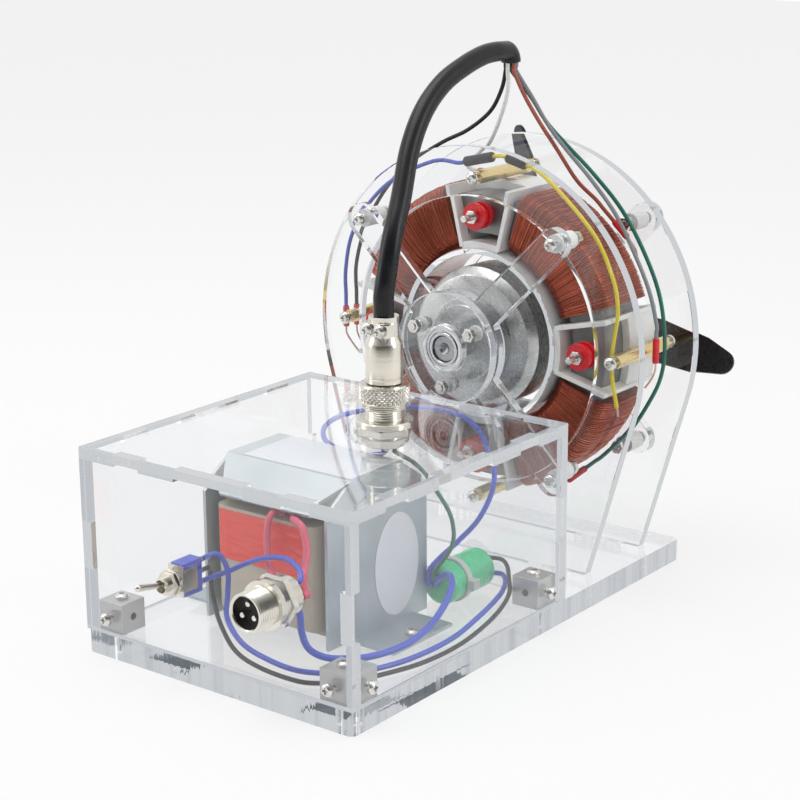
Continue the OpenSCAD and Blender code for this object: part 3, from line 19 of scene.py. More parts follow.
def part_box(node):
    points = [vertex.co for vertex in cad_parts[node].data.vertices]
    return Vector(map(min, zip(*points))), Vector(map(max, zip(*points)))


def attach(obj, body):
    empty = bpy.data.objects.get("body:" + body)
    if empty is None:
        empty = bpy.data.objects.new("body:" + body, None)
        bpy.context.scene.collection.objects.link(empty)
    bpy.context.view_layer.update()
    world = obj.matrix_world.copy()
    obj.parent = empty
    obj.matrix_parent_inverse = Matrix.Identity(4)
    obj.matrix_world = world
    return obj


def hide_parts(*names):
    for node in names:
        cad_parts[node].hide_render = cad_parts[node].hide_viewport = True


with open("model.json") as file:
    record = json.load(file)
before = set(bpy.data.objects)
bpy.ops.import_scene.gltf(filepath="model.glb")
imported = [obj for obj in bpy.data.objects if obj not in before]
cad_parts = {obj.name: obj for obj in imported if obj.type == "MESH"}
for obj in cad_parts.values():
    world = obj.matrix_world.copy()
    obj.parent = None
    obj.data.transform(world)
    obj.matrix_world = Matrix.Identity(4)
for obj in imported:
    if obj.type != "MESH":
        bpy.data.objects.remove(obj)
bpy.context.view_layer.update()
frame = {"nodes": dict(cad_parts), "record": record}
record = frame["record"]
MM = 0.001
body_of_node = {node: body for body, nodes in record["behaviour"]["bodies"].items()
                for node in nodes}

# %% [markdown]
# The camera comes first, because it decides what the eye checks. The photograph was
# taken with a long lens from the front right and a little above, which keeps the
# box's edges almost parallel. The camera looks along a fixed direction and is rolled
# by a fraction of a degree.

# %% Camera
CAMERA_PLACE = Vector((504.6, -651.9, 324.1)) * MM
CAMERA_HEADING = Vector((-0.58880, 0.76138, -0.27132))
CAMERA_ROLL = math.radians(0.40)
CAMERA_LENS = 90.64

camera_data = bpy.data.cameras.new("camera")
camera_data.lens = CAMERA_LENS
camera_data.sensor_width = 36
camera = bpy.data.objects.new("camera", camera_data)
bpy.context.scene.collection.objects.link(camera)
camera.location = CAMERA_PLACE
camera.rotation_mode = "QUATERNION"
roll = Matrix.Rotation(CAMERA_ROLL, 3, CAMERA_HEADING).to_quaternion()
camera.rotation_quaternion = roll @ CAMERA_HEADING.to_track_quat("-Z", "Y")
bpy.context.scene.camera = camera
print("camera", round(CAMERA_PLACE.length, 3), "m from the base's middle")

# %% [markdown]
# Every finish is built from nodes. One helper adds a node, sets its inputs and joins
# it to the ones before it, so that a finish can be read from top to bottom.

# %% Helpers for materials
def add_node(material, kind, inputs=None, **settings):
    made = material.node_tree.nodes.new(kind)
    for key, value in settings.items():
        setattr(made, key, value)
    for key, value in (inputs or {}).items():
        if isinstance(value, bpy.types.NodeSocket):
            material.node_tree.links.new(value, made.inputs[key])
        else:
            made.inputs[key].default_value = value
    return made


def new_material(name, **inputs):
    material = bpy.data.materials.new(name)
    material.use_nodes = True
    shader = material.node_tree.nodes["Principled BSDF"]
    for key, value in inputs.items():
        socket = shader.inputs[key.replace("_", " ")]
        socket.default_value = (*value, 1) if isinstance(value, tuple) else value
    return material, shader


def place_on_piece(material, stretch=(1, 1, 1)):
    """Where a point is on the piece, in metres, stretched for grain that runs one way."""
    position = add_node(material, "ShaderNodeTexCoord").outputs["Object"]
    return add_node(material, "ShaderNodeMapping", {
        "Vector": position, "Scale": stretch}).outputs[0]


def mixed_colour(material, factor, first, second):
    mix = add_node(material, "ShaderNodeMix", data_type="RGBA")
    mix.inputs[6].default_value = (*first, 1)
    mix.inputs[7].default_value = (*second, 1)
    material.node_tree.links.new(factor, mix.inputs[0])
    return mix.outputs[2]


def ranged(material, value, low, high, from_low=0.3, from_high=0.7):
    return add_node(material, "ShaderNodeMapRange", {
        "Value": value, "From Min": from_low, "From Max": from_high,
        "To Min": low, "To Max": high}).outputs[0]


def finish(name, colour, shade, roughness, grain=400, stretch=(1, 1, 1), relief=0.15,
           relief_depth=0.00004, **inputs):
    """A finish of two close colours in a soft grain, with uneven gloss and a fine relief."""
    material, shader = new_material(name, **inputs)
    link = material.node_tree.links.new
    where = place_on_piece(material, stretch)
    cloud = add_node(material, "ShaderNodeTexNoise", {
        "Vector": where, "Scale": grain / 8, "Detail": 3.0, "Roughness": 0.6}).outputs[0]
    fine = add_node(material, "ShaderNodeTexNoise", {
        "Vector": where, "Scale": grain, "Detail": 2.0, "Roughness": 0.7}).outputs[0]
    link(mixed_colour(material, ranged(material, cloud, 0, 1), colour, shade),
         shader.inputs["Base Color"])
    link(ranged(material, fine, roughness[0], roughness[1]), shader.inputs["Roughness"])
    bump = add_node(material, "ShaderNodeBump", {
        "Height": fine, "Strength": relief, "Distance": relief_depth})
    link(bump.outputs[0], shader.inputs["Normal"])
    return material


# %% [markdown]
# Clear sheet is the main finish of this model. It is cast acrylic, so it bends light
# a little less than window glass. Light from lamps would be stopped by refraction and
# leave the inside dark, so rays that ask only for shadow pass straight through, with
# a slight loss. The thick base was sawn, and its edges carry upright marks, which break
# up what is seen through them; a bump kept to the faces that stand upright gives them.
# On the same faces a second colour adds grey streaks. These are painted reflection,
# standing in for the dark things mirrored inside the base.

# %% Clear finishes
# A ray may be caught between the faces of a sheet. After this many faces passed or
# mirrored, the sheet glows there with a painted pale light, in place of the pale
# surroundings that the ray would meet in the end.
MOST_FACES = 9.5
MOST_MIRRORS = 2.5
PAINTED_PALE_GLOW = (0.58, 0.60, 0.62, 1)
SHADOW_PASS = (0.93, 0.95, 0.95, 1)
# The grey of the streaks on the base's upright sides is painted reflection of dark things mirrored
# inside the base.
PAINTED_REFLECTION_GREY = (0.50, 0.51, 0.58)
ACRYLIC_IOR = 1.49
MARK_SCALE, PAINTED_STREAK_SCALE = 420.0, 160.0
MARK_DEPTH = 0.0006


def clear_finish(name, tint, marks_and_painted_streaks):
    material, shader = new_material(
        name, Base_Color=tint, Roughness=0.0, IOR=ACRYLIC_IOR, Transmission_Weight=1.0)
    link = material.node_tree.links.new
    if marks_and_painted_streaks > 0:
        where = place_on_piece(material, (1, 1, 0.02))
        facing = add_node(material, "ShaderNodeNewGeometry").outputs["True Normal"]
        upright = add_node(material, "ShaderNodeSeparateXYZ", {"Vector": facing}).outputs["Z"]
        flat = add_node(material, "ShaderNodeMath", {0: upright}, operation="ABSOLUTE").outputs[0]
        side = ranged(material, flat, marks_and_painted_streaks, 0.0, 0.1, 0.5)
        marks = add_node(material, "ShaderNodeTexNoise", {
            "Vector": where, "Scale": MARK_SCALE, "Detail": 2.0}).outputs[0]
        bump = add_node(material, "ShaderNodeBump", {
            "Height": marks, "Strength": side, "Distance": MARK_DEPTH})
        link(bump.outputs[0], shader.inputs["Normal"])
        # Painted reflection: a noise of grey streaks on the upright faces stands in for what is
        # mirrored inside the base.
        streaks = add_node(material, "ShaderNodeTexNoise", {
            "Vector": where, "Scale": PAINTED_STREAK_SCALE, "Detail": 3.0, "Roughness": 0.75}).outputs[0]
        painted_grey_share = add_node(material, "ShaderNodeMath", {
            0: ranged(material, streaks, 0, 1.6, 0.46, 0.66), 1: side}, operation="MULTIPLY")
        link(mixed_colour(material, painted_grey_share.outputs[0], tint, PAINTED_REFLECTION_GREY),
             shader.inputs["Base Color"])
    passing = add_node(material, "ShaderNodeBsdfTransparent", {"Color": SHADOW_PASS})
    shadow = add_node(material, "ShaderNodeLightPath").outputs["Is Shadow Ray"]
    both = add_node(material, "ShaderNodeMixShader", {
        0: shadow, 1: shader.outputs[0], 2: passing.outputs[0]})
    rays = add_node(material, "ShaderNodeLightPath")
    through = add_node(material, "ShaderNodeMath", {
        0: rays.outputs["Transmission Depth"], 1: MOST_FACES}, operation="GREATER_THAN")
    caught = add_node(material, "ShaderNodeMath", {
        0: rays.outputs["Glossy Depth"], 1: MOST_MIRRORS}, operation="GREATER_THAN")
    long_way = add_node(material, "ShaderNodeMath", {
        0: through.outputs[0], 1: caught.outputs[0]}, operation="MAXIMUM").outputs[0]
    # Painted light: the sheet glows pale where a ray has passed or mirrored too often.
    pale = add_node(material, "ShaderNodeEmission", {"Color": PAINTED_PALE_GLOW})
    ended = add_node(material, "ShaderNodeMixShader", {
        0: long_way, 1: both.outputs[0], 2: pale.outputs[0]})
    link(ended.outputs[0], material.node_tree.nodes["Material Output"].inputs["Surface"])
    return material


clear_sheet = clear_finish("clear_sheet", (0.962, 0.966, 0.972), 0.0)
# The base's sides take the saw marks and the painted grey streaks of reflection.
clear_base = clear_finish("clear_base", (0.955, 0.960, 0.970), 0.5)
print("clear finishes:", clear_sheet.name, clear_base.name)

# %% [markdown]
# The metals differ mostly in colour and in the way they were worked. Plated screws and
# connectors are smooth and bright, cast cubes and sheet steel are matt, and turned or
# ground parts have a grain that runs one way, which a stretched noise gives. All take
# two close colours, because one flat colour looks like paint.

# %% Metals
zinc = finish("bright_zinc", (0.80, 0.79, 0.76), (0.66, 0.65, 0.62), (0.16, 0.34),
              grain=900, relief=0.04, Metallic=1.0)
nickel = finish("satin_nickel", (0.80, 0.77, 0.70), (0.70, 0.67, 0.60), (0.14, 0.26),
                grain=700, Metallic=1.0)
turned_nickel = finish("turned_nickel", (0.80, 0.76, 0.66), (0.68, 0.64, 0.55), (0.12, 0.24),
                       grain=500, stretch=(0.1, 0.1, 1), Metallic=1.0)
galvanised = finish("galvanised_sheet", (0.40, 0.45, 0.48), (0.50, 0.55, 0.58), (0.34, 0.54),
                    grain=260, relief=0.2, Metallic=0.75)
cast_zinc = finish("cast_zinc", (0.50, 0.50, 0.49), (0.60, 0.60, 0.59), (0.34, 0.5), grain=300,
                   relief=0.06, Metallic=0.8)
laminations = finish("stacked_laminations", (0.19, 0.195, 0.20), (0.33, 0.33, 0.32), (0.35, 0.6),
                     grain=1400, stretch=(0.06, 1, 0.06), relief=0.5, Metallic=0.75)
trafo_steel = finish("transformer_laminations", (0.26, 0.26, 0.27), (0.42, 0.41, 0.40),
                     (0.35, 0.6), grain=1200, stretch=(0.06, 1, 0.06), relief=0.5,
                     Metallic=0.7)
rotor_metal = finish("turned_rotor", (0.55, 0.555, 0.55), (0.49, 0.495, 0.49), (0.22, 0.34),
                     grain=500, stretch=(1, 0.2, 1), relief=0.03, Metallic=1.0)
rotor_steel = finish("ground_rotor_steel", (0.30, 0.30, 0.28), (0.42, 0.41, 0.38), (0.20, 0.36),
                     grain=420, stretch=(0.3, 1, 0.3), relief=0.04, Metallic=1.0)
shaft_steel = finish("shaft_steel", (0.30, 0.31, 0.32), (0.42, 0.43, 0.44), (0.22, 0.40),
                     grain=700, Metallic=1.0)
bearing_steel = finish("bearing_steel", (0.66, 0.67, 0.68), (0.56, 0.57, 0.58), (0.12, 0.24),
                       grain=800, Metallic=1.0)
brass = finish("plain_brass", (0.80, 0.64, 0.30), (0.70, 0.54, 0.24), (0.2, 0.36),
               grain=600, stretch=(1, 0.1, 1), Metallic=1.0)
copper = finish("enamelled_copper", (0.50, 0.125, 0.07), (0.36, 0.08, 0.045), (0.14, 0.26),
                grain=300, relief=0.0, Metallic=0.8)
# Under the turns lies the same enamelled wire; this darker, duller copper is painted shade in the
# gaps between the outer turns.
copper_painted_shade = finish("inner_copper_painted_shade", (0.30, 0.085, 0.04), (0.22, 0.06, 0.03), (0.4, 0.6),
                     grain=900, Metallic=0.3)
bare_copper = finish("tinned_copper", (0.76, 0.46, 0.32), (0.66, 0.60, 0.56), (0.25, 0.4),
                     grain=900, Metallic=1.0)
print(len(bpy.data.materials), "finishes so far")

# %% [markdown]
# Plastics, paper and wire covers shine evenly, so their gloss varies little. Dark ones
# get less of a sheen, or they would look grey under soft light. Nylon and paper let a
# little light in, which keeps them from looking like painted metal.

# %% Plastics, paper and rubber
nylon = finish("white_nylon", (0.86, 0.865, 0.85), (0.79, 0.80, 0.79), (0.42, 0.58), grain=500,
               Subsurface_Weight=0.15, Subsurface_Scale=0.002)
red_plastic = finish("red_plastic", (0.72, 0.018, 0.03), (0.60, 0.012, 0.02), (0.18, 0.30),
                     grain=600)
black_plastic = finish("black_plastic", (0.004, 0.004, 0.005), (0.010, 0.010, 0.012),
                       (0.24, 0.36), grain=700, Specular_IOR_Level=0.3)
blue_plastic = finish("blue_plastic", (0.035, 0.055, 0.46), (0.05, 0.08, 0.55), (0.3, 0.45),
                      grain=600)
green_sleeve = finish("green_sleeve", (0.06, 0.60, 0.28), (0.035, 0.52, 0.22), (0.2, 0.34),
                      grain=300, relief=0.25, relief_depth=0.0002)
beige_card = finish("beige_card", (0.60, 0.53, 0.43), (0.52, 0.45, 0.35), (0.5, 0.7), grain=350,
                    relief=0.3)
red_tape = finish("red_tape", (0.95, 0.06, 0.03), (0.86, 0.02, 0.015), (0.10, 0.22), grain=220,
                  relief=0.5, relief_depth=0.0008)
paper = finish("label_paper", (0.70, 0.72, 0.76), (0.66, 0.68, 0.72), (0.38, 0.5), grain=500)
insulating_paper = finish("insulating_paper", (0.80, 0.81, 0.82), (0.70, 0.72, 0.74), (0.4, 0.6),
                          grain=300, Transmission_Weight=0.15)
clear_nylon = finish("natural_nylon", (0.80, 0.82, 0.81), (0.72, 0.75, 0.74), (0.3, 0.45),
                     grain=500, Transmission_Weight=0.4)
cable_sheath = finish("cable_sheath", (0.004, 0.004, 0.006), (0.008, 0.009, 0.011),
                      (0.24, 0.34), grain=260, relief=0.15, relief_depth=0.00005,
                      Specular_IOR_Level=0.35)
lead_pink = finish("pink_sleeving", (0.72, 0.10, 0.17), (0.62, 0.07, 0.13), (0.35, 0.5),
                   grain=500)
wire_blue = finish("wire_blue", (0.035, 0.07, 0.50), (0.045, 0.09, 0.58), (0.26, 0.4), grain=400)
wire_black = finish("wire_black", (0.006, 0.006, 0.007), (0.012, 0.012, 0.014), (0.26, 0.4),
                    grain=400, Specular_IOR_Level=0.3)
wire_green = finish("wire_green", (0.015, 0.17, 0.12), (0.012, 0.13, 0.09), (0.26, 0.4),
                    grain=400)
wire_white = finish("wire_white", (0.82, 0.82, 0.80), (0.76, 0.76, 0.74), (0.26, 0.4), grain=400)
wire_brown = finish("wire_brown", (0.42, 0.10, 0.06), (0.35, 0.08, 0.05), (0.26, 0.4), grain=400)
wire_grey = finish("wire_grey", (0.26, 0.28, 0.30), (0.21, 0.23, 0.25), (0.26, 0.4), grain=400)
wire_yellow = finish("wire_yellow", (0.86, 0.70, 0.02), (0.80, 0.64, 0.01), (0.26, 0.4),
                     grain=400)
print(len(bpy.data.materials), "finishes")

# %% [markdown]
# Most plates and small parts have the right shape already. A CAD mesh has knife edges
# that catch no light, so each is copied, its loose triangles are joined, and its edges
# are broken by a tenth of a millimetre or two. The copy then stands for the node.

# %% Helpers for pieces
def link_piece(name, mesh, material, node, replaces=True):
    """Adds a finished piece that rides on its node's body, and hides the node when it replaces it.
    """
    piece = bpy.data.objects.new(name, mesh)
    bpy.context.scene.collection.objects.link(piece)
    mesh.materials.clear()
    mesh.materials.append(material)
    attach(piece, body_of_node[node])
    if replaces:
        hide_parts(node)
    return piece


# Faces of a flat side and of its broken edge differ in size by more than this.
AREA_JUMP = 12


def mesh_from(bm, smooth_angle=35):
    """A mesh with soft curves. Flat faces beside much smaller ones keep their own shade."""
    for edge in bm.edges:
        if len(edge.link_faces) == 2:
            angle = edge.calc_face_angle(0)
            areas = sorted(face.calc_area() for face in edge.link_faces)
            edge.smooth = angle < math.radians(1) or (
                angle < math.radians(smooth_angle) and areas[1] < AREA_JUMP * areas[0])
    for face in bm.faces:
        face.smooth = True
    mesh = bpy.data.meshes.new("mesh")
    bm.to_mesh(mesh)
    bm.free()
    return mesh


def plain_mesh(obj):
    """The mesh that an object's modifiers give, without the modifiers."""
    graph = bpy.context.evaluated_depsgraph_get()
    return bpy.data.meshes.new_from_object(obj.evaluated_get(graph))


# %% Softened copies of the plates and small parts
PLATE_EDGE, BASE_EDGE, SMALL_EDGE = 0.2, 0.3, 0.15
SMOOTH_ANGLE = 35


def softened(node, material, edge):
    """A copy of a CAD node with joined triangles and lightly broken edges."""
    bm = bmesh.new()
    bm.from_mesh(frame["nodes"][node].data)
    bmesh.ops.remove_doubles(bm, verts=bm.verts, dist=1e-6)
    bmesh.ops.dissolve_limit(bm, angle_limit=math.radians(1), verts=bm.verts, edges=bm.edges)
    sharp = [e for e in bm.edges if len(e.link_faces) == 2
             and e.calc_face_angle(0) > math.radians(SMOOTH_ANGLE)]
    bmesh.ops.bevel(bm, geom=sharp, offset=edge * MM, segments=1, affect="EDGES",
                    profile=0.5, clamp_overlap=True)
    bmesh.ops.triangulate(bm, faces=[f for f in bm.faces if len(f.verts) > 4])
    return link_piece(node + "_finished", mesh_from(bm, SMOOTH_ANGLE), material, node)


def dressed(node, material):
    """A CAD node that keeps its own mesh and gets a finish."""
    mesh = frame["nodes"][node].data
    mesh.materials.clear()
    mesh.materials.append(material)


for node in ("front_wall", "rear_wall", "left_wall", "right_wall", "box_lid", "front_plate",
             "rear_plate", "front_spider", "rear_spider", "front_disc", "rear_disc",
             "stator_liner"):
    softened(node, clear_sheet, PLATE_EDGE)
softened("base_plate", clear_base, BASE_EDGE)
for node, material in (
        ("corner_cubes", cast_zinc), ("box_screws", zinc), ("frame_screws", zinc),
        ("frame_nuts", zinc), ("core_bolts", zinc), ("transformer_frame", galvanised),
        ("transformer_core", trafo_steel), ("transformer_bobbin", beige_card),
        ("inlet_insert", black_plastic), ("contact_pins", nickel), ("socket_nuts", nickel),
        ("switch_body", blue_plastic), ("switch_frame", nickel), ("switch_lever", nickel),
        ("cable_tie", clear_nylon), ("plug_clamp", nickel), ("core_holders", nylon),
        ("terminal_collars", red_plastic), ("brass_standoffs", brass),
        ("nylon_spacers", nylon), ("stator_core", laminations),
        ("bearing_inner_rings", bearing_steel), ("fan", black_plastic)):
    softened(node, material, SMALL_EDGE)
dressed("transformer_labels", paper)
print("plates and small parts finished")

# %% [markdown]
# Wire is a circle that follows a path, so one small node tree makes it all: it turns
# a line of points into a curve, gives each point its thickness, sweeps a circle along
# it and closes the ends. One piece can hold several wires. Curve to Mesh takes the
# thickness by its own Scale, and leaves a curve's radius aside.

# %% The tree that sweeps wire
def wire_tree():
    tree = bpy.data.node_groups.new("sweep_wire", "GeometryNodeTree")
    face = tree.interface
    face.new_socket("Geometry", in_out="INPUT", socket_type="NodeSocketGeometry")
    face.new_socket("Sides", in_out="INPUT", socket_type="NodeSocketInt")
    face.new_socket("Material", in_out="INPUT", socket_type="NodeSocketMaterial")
    face.new_socket("Geometry", in_out="OUTPUT", socket_type="NodeSocketGeometry")
    new, link = tree.nodes.new, tree.links.new
    given, result = new("NodeGroupInput"), new("NodeGroupOutput")
    path = new("GeometryNodeMeshToCurve")
    thickness = new("GeometryNodeInputNamedAttribute")
    thickness.inputs["Name"].default_value = "thickness"
    circle = new("GeometryNodeCurvePrimitiveCircle")
    circle.inputs["Radius"].default_value = 1.0
    sweep = new("GeometryNodeCurveToMesh")
    sweep.inputs["Fill Caps"].default_value = True
    smooth = new("GeometryNodeSetShadeSmooth")
    paint = new("GeometryNodeSetMaterial")
    realize = new("GeometryNodeRealizeInstances")
    link(given.outputs["Geometry"], path.inputs["Mesh"])
    link(path.outputs[0], sweep.inputs["Curve"])
    link(thickness.outputs["Attribute"], sweep.inputs["Scale"])
    link(given.outputs["Sides"], circle.inputs["Resolution"])
    link(circle.outputs["Curve"], sweep.inputs["Profile Curve"])
    link(sweep.outputs[0], smooth.inputs["Geometry"])
    link(smooth.outputs[0], realize.inputs[0])
    link(realize.outputs[0], paint.inputs["Geometry"])
    link(given.outputs["Material"], paint.inputs["Material"])
    link(paint.outputs[0], result.inputs[0])
    return tree


sweep_tree = wire_tree()
print("wire tree has", len(sweep_tree.nodes), "nodes")


def set_input(modifier, name, value):
    for item in modifier.node_group.interface.items_tree:
        if item.item_type == "SOCKET" and item.in_out == "INPUT" and item.name == name:
            modifier[item.identifier] = value


def wires(name, strands, material, node, sides=14):
    """One piece of several wires, each a list of points in mm and a radius in mm."""
    points, edges, thickness = [], [], []
    for route, radius in strands:
        first = len(points)
        points += [Vector(point) * MM for point in route]
        edges += [(k, k + 1) for k in range(first, len(points) - 1)]
        thickness += [radius * MM] * len(route)
    mesh = bpy.data.meshes.new(name)
    mesh.from_pydata(points, edges, [])
    mesh.attributes.new("thickness", "FLOAT", "POINT").data.foreach_set("value", thickness)
    source = bpy.data.objects.new(name + "_path", mesh)
    bpy.context.scene.collection.objects.link(source)
    modifier = source.modifiers.new("sweep", "NODES")
    modifier.node_group = sweep_tree
    set_input(modifier, "Sides", sides)
    set_input(modifier, "Material", material)
    swept = plain_mesh(source)
    bpy.data.objects.remove(source)
    return link_piece(name, swept, material, node)


def rounded(route, steps):
    """More points on a smooth curve through a route's own points."""
    p = [Vector(point) for point in route]
    n = len(p) - 1
    made = []
    for i in range(n):
        a, b, c, d = p[max(i - 1, 0)], p[i], p[i + 1], p[min(i + 2, n)]
        for s in range(steps):
            t = s / steps
            made.append((2 * b + (c - a) * t + (2 * a - 5 * b + 4 * c - d) * t * t
                         + (3 * b - a - 3 * c + d) * t ** 3) / 2)
    return made + [p[n]]


# %% [markdown]
# The motor cable leaves its clamp upwards, leans over towards the motor and is cut
# off above the plates. Its last quarter turn faces down, where the coloured cores
# come out of the sheath. Cable and wires are held at both ends, so they are drawn
# along the same points as in the model's source, in millimetres.

# %% Routes of the cable and its cores
SOCKET_X, SOCKET_Y = 16.5, -31
CLAMP_TOP = 137
CABLE_R = 4.25
CABLE_TURN = CABLE_R + 1
CABLE_END = (10, 67.2, 229)

cable_route = [(SOCKET_X, SOCKET_Y, CLAMP_TOP), (SOCKET_X, SOCKET_Y, CLAMP_TOP + 4),
               (SOCKET_X, SOCKET_Y, CLAMP_TOP + 8), (17, -30, 152), (17, -26, 167),
               (14, -16, 182), (9.5, -4, 200), (7.5, 8, 214), (7, 22, 224), (8, 36, 230),
               (9, 48, 233.4), (10, 56, CABLE_END[2] + CABLE_TURN)]
cable_turn = [(CABLE_END[0], CABLE_END[1] - CABLE_TURN * (1 - math.sin(math.radians(a))),
               CABLE_END[2] + CABLE_TURN * math.cos(math.radians(a))) for a in range(18, 91, 8)]


def core_start(angle):
    x = CABLE_END[0] + 2.4 * math.cos(math.radians(angle))
    y = CABLE_END[1] + 2.4 * math.sin(math.radians(angle))
    return [(x, y, CABLE_END[2] - drop) for drop in (0.4, 2, 4)]


black_core = core_start(200) + [
    (6, 66, 217), (0, 66, 207), (-12, 66, 198), (-26, 67, 191.5), (-42, 68, 182),
    (-58, 69, 168), (-71, 70, 149), (-78, 71, 130), (-79, 72, 116), (-79, 72, 113),
    (-79, 72, 110)]
white_core = core_start(270) + [
    (10, 65, 217), (5, 67, 205), (-3, 71, 193.5), (-12, 76, 186.5), (-19, 79, 182.8),
    (-20.5, 80, 179.8), (-17.5, 80, 178.4), (-14.5, 80, 178.2)]
brown_core = core_start(340) + [
    (15, 70, 215), (19, 76, 203), (25, 81, 191), (33, 85, 177.5), (41, 88, 169.5),
    (45.2, 89, 164.9), (49.4, 90, 160.4)]
grey_core = core_start(50) + [
    (17, 74, 213), (22, 79, 201), (31, 80, 191), (43, 80, 180), (56, 80, 166),
    (66, 80, 150), (74, 80, 134), (78, 80, 120), (78, 80, 117), (78, 80, 114)]
green_core = core_start(120) + [
    (14, 77, 213), (19, 82, 202), (29, 84, 192), (42, 84, 181.5), (57, 84, 167),
    (69, 84, 149), (77, 84, 131), (80, 84, 111), (78.5, 84, 96), (73, 83, 83),
    (64, 83, 69), (53, 82, 57), (49, 81, 53.5), (45, 80, 50)]
blue_lead = [(-11, 65, 184.5), (-14.9, 65, 183.6), (-29, 66, 183), (-52, 66, 172.5),
             (-68, 66, 158), (-77, 66, 143), (-80.5, 66, 127), (-80.5, 66, 116),
             (-80.5, 66, 113), (-80.5, 66, 110)]
yellow_link = [(4, 65, 188), (5.5, 64.9, 188.35), (8, 64.5, 188.8), (10.5, 64.1, 188.75),
               (12, 64, 188.5)]
yellow_lead = [(22, 64, 186), (25.9, 64, 185), (37, 64, 178), (57, 64, 159.5),
               (67, 64, 141), (69.5, 64, 128), (68.2, 64, 118), (66.9, 64, 107.5),
               (67.8, 63.5, 98), (69.8, 63, 90), (70.6, 63, 86)]

# %% Routes of the wires in the box
blue_switch_wire = [
    (-21, -99.2, 45.7), (-21, -97.7, 45.7), (-21, -96.2, 45.7), (-18, -93, 46),
    (-14, -92.5, 40), (-13, -94, 31), (-10, -98, 22.5), (2, -103, 16.5), (18, -106, 14.5),
    (34, -106.5, 14), (46, -100, 13.8), (54, -88, 13.6), (58.5, -70, 13.4), (59, -46, 13.4),
    (54, -20, 13.6), (49, 0, 14.2), (46, 9, 15.5), (42.5, 14.6, 16.6), (39, 17.3, 17),
    (35.5, 17.1, 16.9), (32.5, 15.8, 16.75)]
black_switch_wire = [
    (-21, -99.2, 41), (-21, -97.7, 41), (-21, -96.2, 41), (-23.5, -93, 38.5), (-24, -91.8, 33),
    (-21, -93.5, 25.5), (-13, -98.6, 19), (2, -106.5, 14), (18, -110, 12.2),
    (36, -110.5, 11.8), (45, -107, 11.8), (51.2, -99.5, 11.8), (57, -86, 11.6),
    (62, -68, 11.6), (62.5, -44, 11.6),
    (58, -16, 12.6), (53, 2, 15.4), (48, 9.5, 19.6), (43.5, 14.5, 22.6), (39, 17.2, 23.7),
    (35.5, 16.9, 23.8), (31.5, 15.6, 23.75)]
blue_inlet_wire = [
    (29.5, -106, 39.4), (29.5, -104, 39.4), (29.5, -102.5, 39), (29.5, -99.5, 34),
    (30, -99, 26), (34, -99, 20), (42, -96, 17.5), (50, -86, 17), (54.6, -70, 18),
    (54, -54, 20.5), (51, -40, 24.5), (47, -30, 28.5), (41, -23.5, 29.5), (35, -20.6, 26.5),
    (31.5, -19, 23.5), (29.5, -17.6, 21.25), (29.5, -16.5, 21.25)]
blue_cross_wire = [
    (-21, -99.2, 36.3), (-21, -97.7, 36.3), (-21, -96.2, 36.3), (-16, -90.2, 38.5),
    (-8, -88, 43), (2, -88, 47.5), (14, -90, 50.6), (24, -94, 50.4), (28.4, -97, 48.6),
    (29.5, -99, 47.4), (29.5, -101, 47.4)]
blue_lid_wire = [
    (13.67, -28.17, 77.4), (13.67, -28.17, 76.3), (13.37, -27.67, 75.2), (10, -23, 72.5),
    (4, -19.5, 69.5), (-7, -17.8, 67), (-19, -17.6, 67), (-27, -17.4, 70), (-30.5, -13, 74),
    (-29.5, -4, 76.6), (-24, 5, 78), (-14, 13, 79.2), (-2, 17, 80.4), (10, 17.8, 81),
    (22, 15.5, 80.8), (33, 10.5, 79), (39.5, 7, 75.5), (43.5, 4.5, 69), (45, 1, 60), (41, -3, 48),
    (34.5, -8.6, 38.5), (30, -14, 32.5), (28, -18.6, 28.5), (27.4, -20, 25),
    (27.3, -19.4, 21.6), (27.3, -17.9, 20), (27.3, -16.5, 19.75)]
green_lid_wire = [
    (19.33, -28.17, 77.4), (19.33, -28.17, 76.3), (19.63, -27.67, 75.2), (25.5, -23.5, 71),
    (31, -21, 65), (37.5, -19, 55), (38.4, -17, 46), (37, -16.5, 39), (34.3, -18, 33.4),
    (32, -19.2, 29.6), (30.7, -18.9, 26.8), (29.6, -17.7, 25.25), (29.5, -16.4, 25.15)]
left_lead = [
    (-3, -70.5, 59.5), (-3, -70.5, 61.5), (-3, -72, 62.8), (-3, -76.4, 62.3),
    (-3, -79.4, 60.1), (-2.7, -80.8, 56), (-1.5, -82.5, 50), (3, -86.5, 43.6),
    (12, -93, 41.6), (20, -97, 41.8), (26.5, -96.5, 42.2), (26.56, -99.2, 42.3),
    (26.56, -101, 42.3)]
right_lead = [
    (4, -70.5, 59.5), (4, -70.5, 61.5), (5, -72.3, 62.8), (8, -77.2, 61.9),
    (12, -80.4, 62.9), (17, -82.2, 61.4), (21, -84.5, 54), (22.6, -88, 47.6),
    (26, -93, 44.6), (30, -96.5, 42.8), (32.5, -98.4, 42.3), (32.44, -99.6, 42.3),
    (32.44, -101, 42.3)]

# %% Wires and cable
CORE_R = 0.9
SMOOTH_STEPS = 6

wires("motor_cable_sheath", [(rounded(cable_route, SMOOTH_STEPS) + cable_turn, CABLE_R)],
      cable_sheath, "motor_cable", sides=32)


def smooth_wires(routes):
    return [(rounded(route, SMOOTH_STEPS), radius) for route, radius in routes]


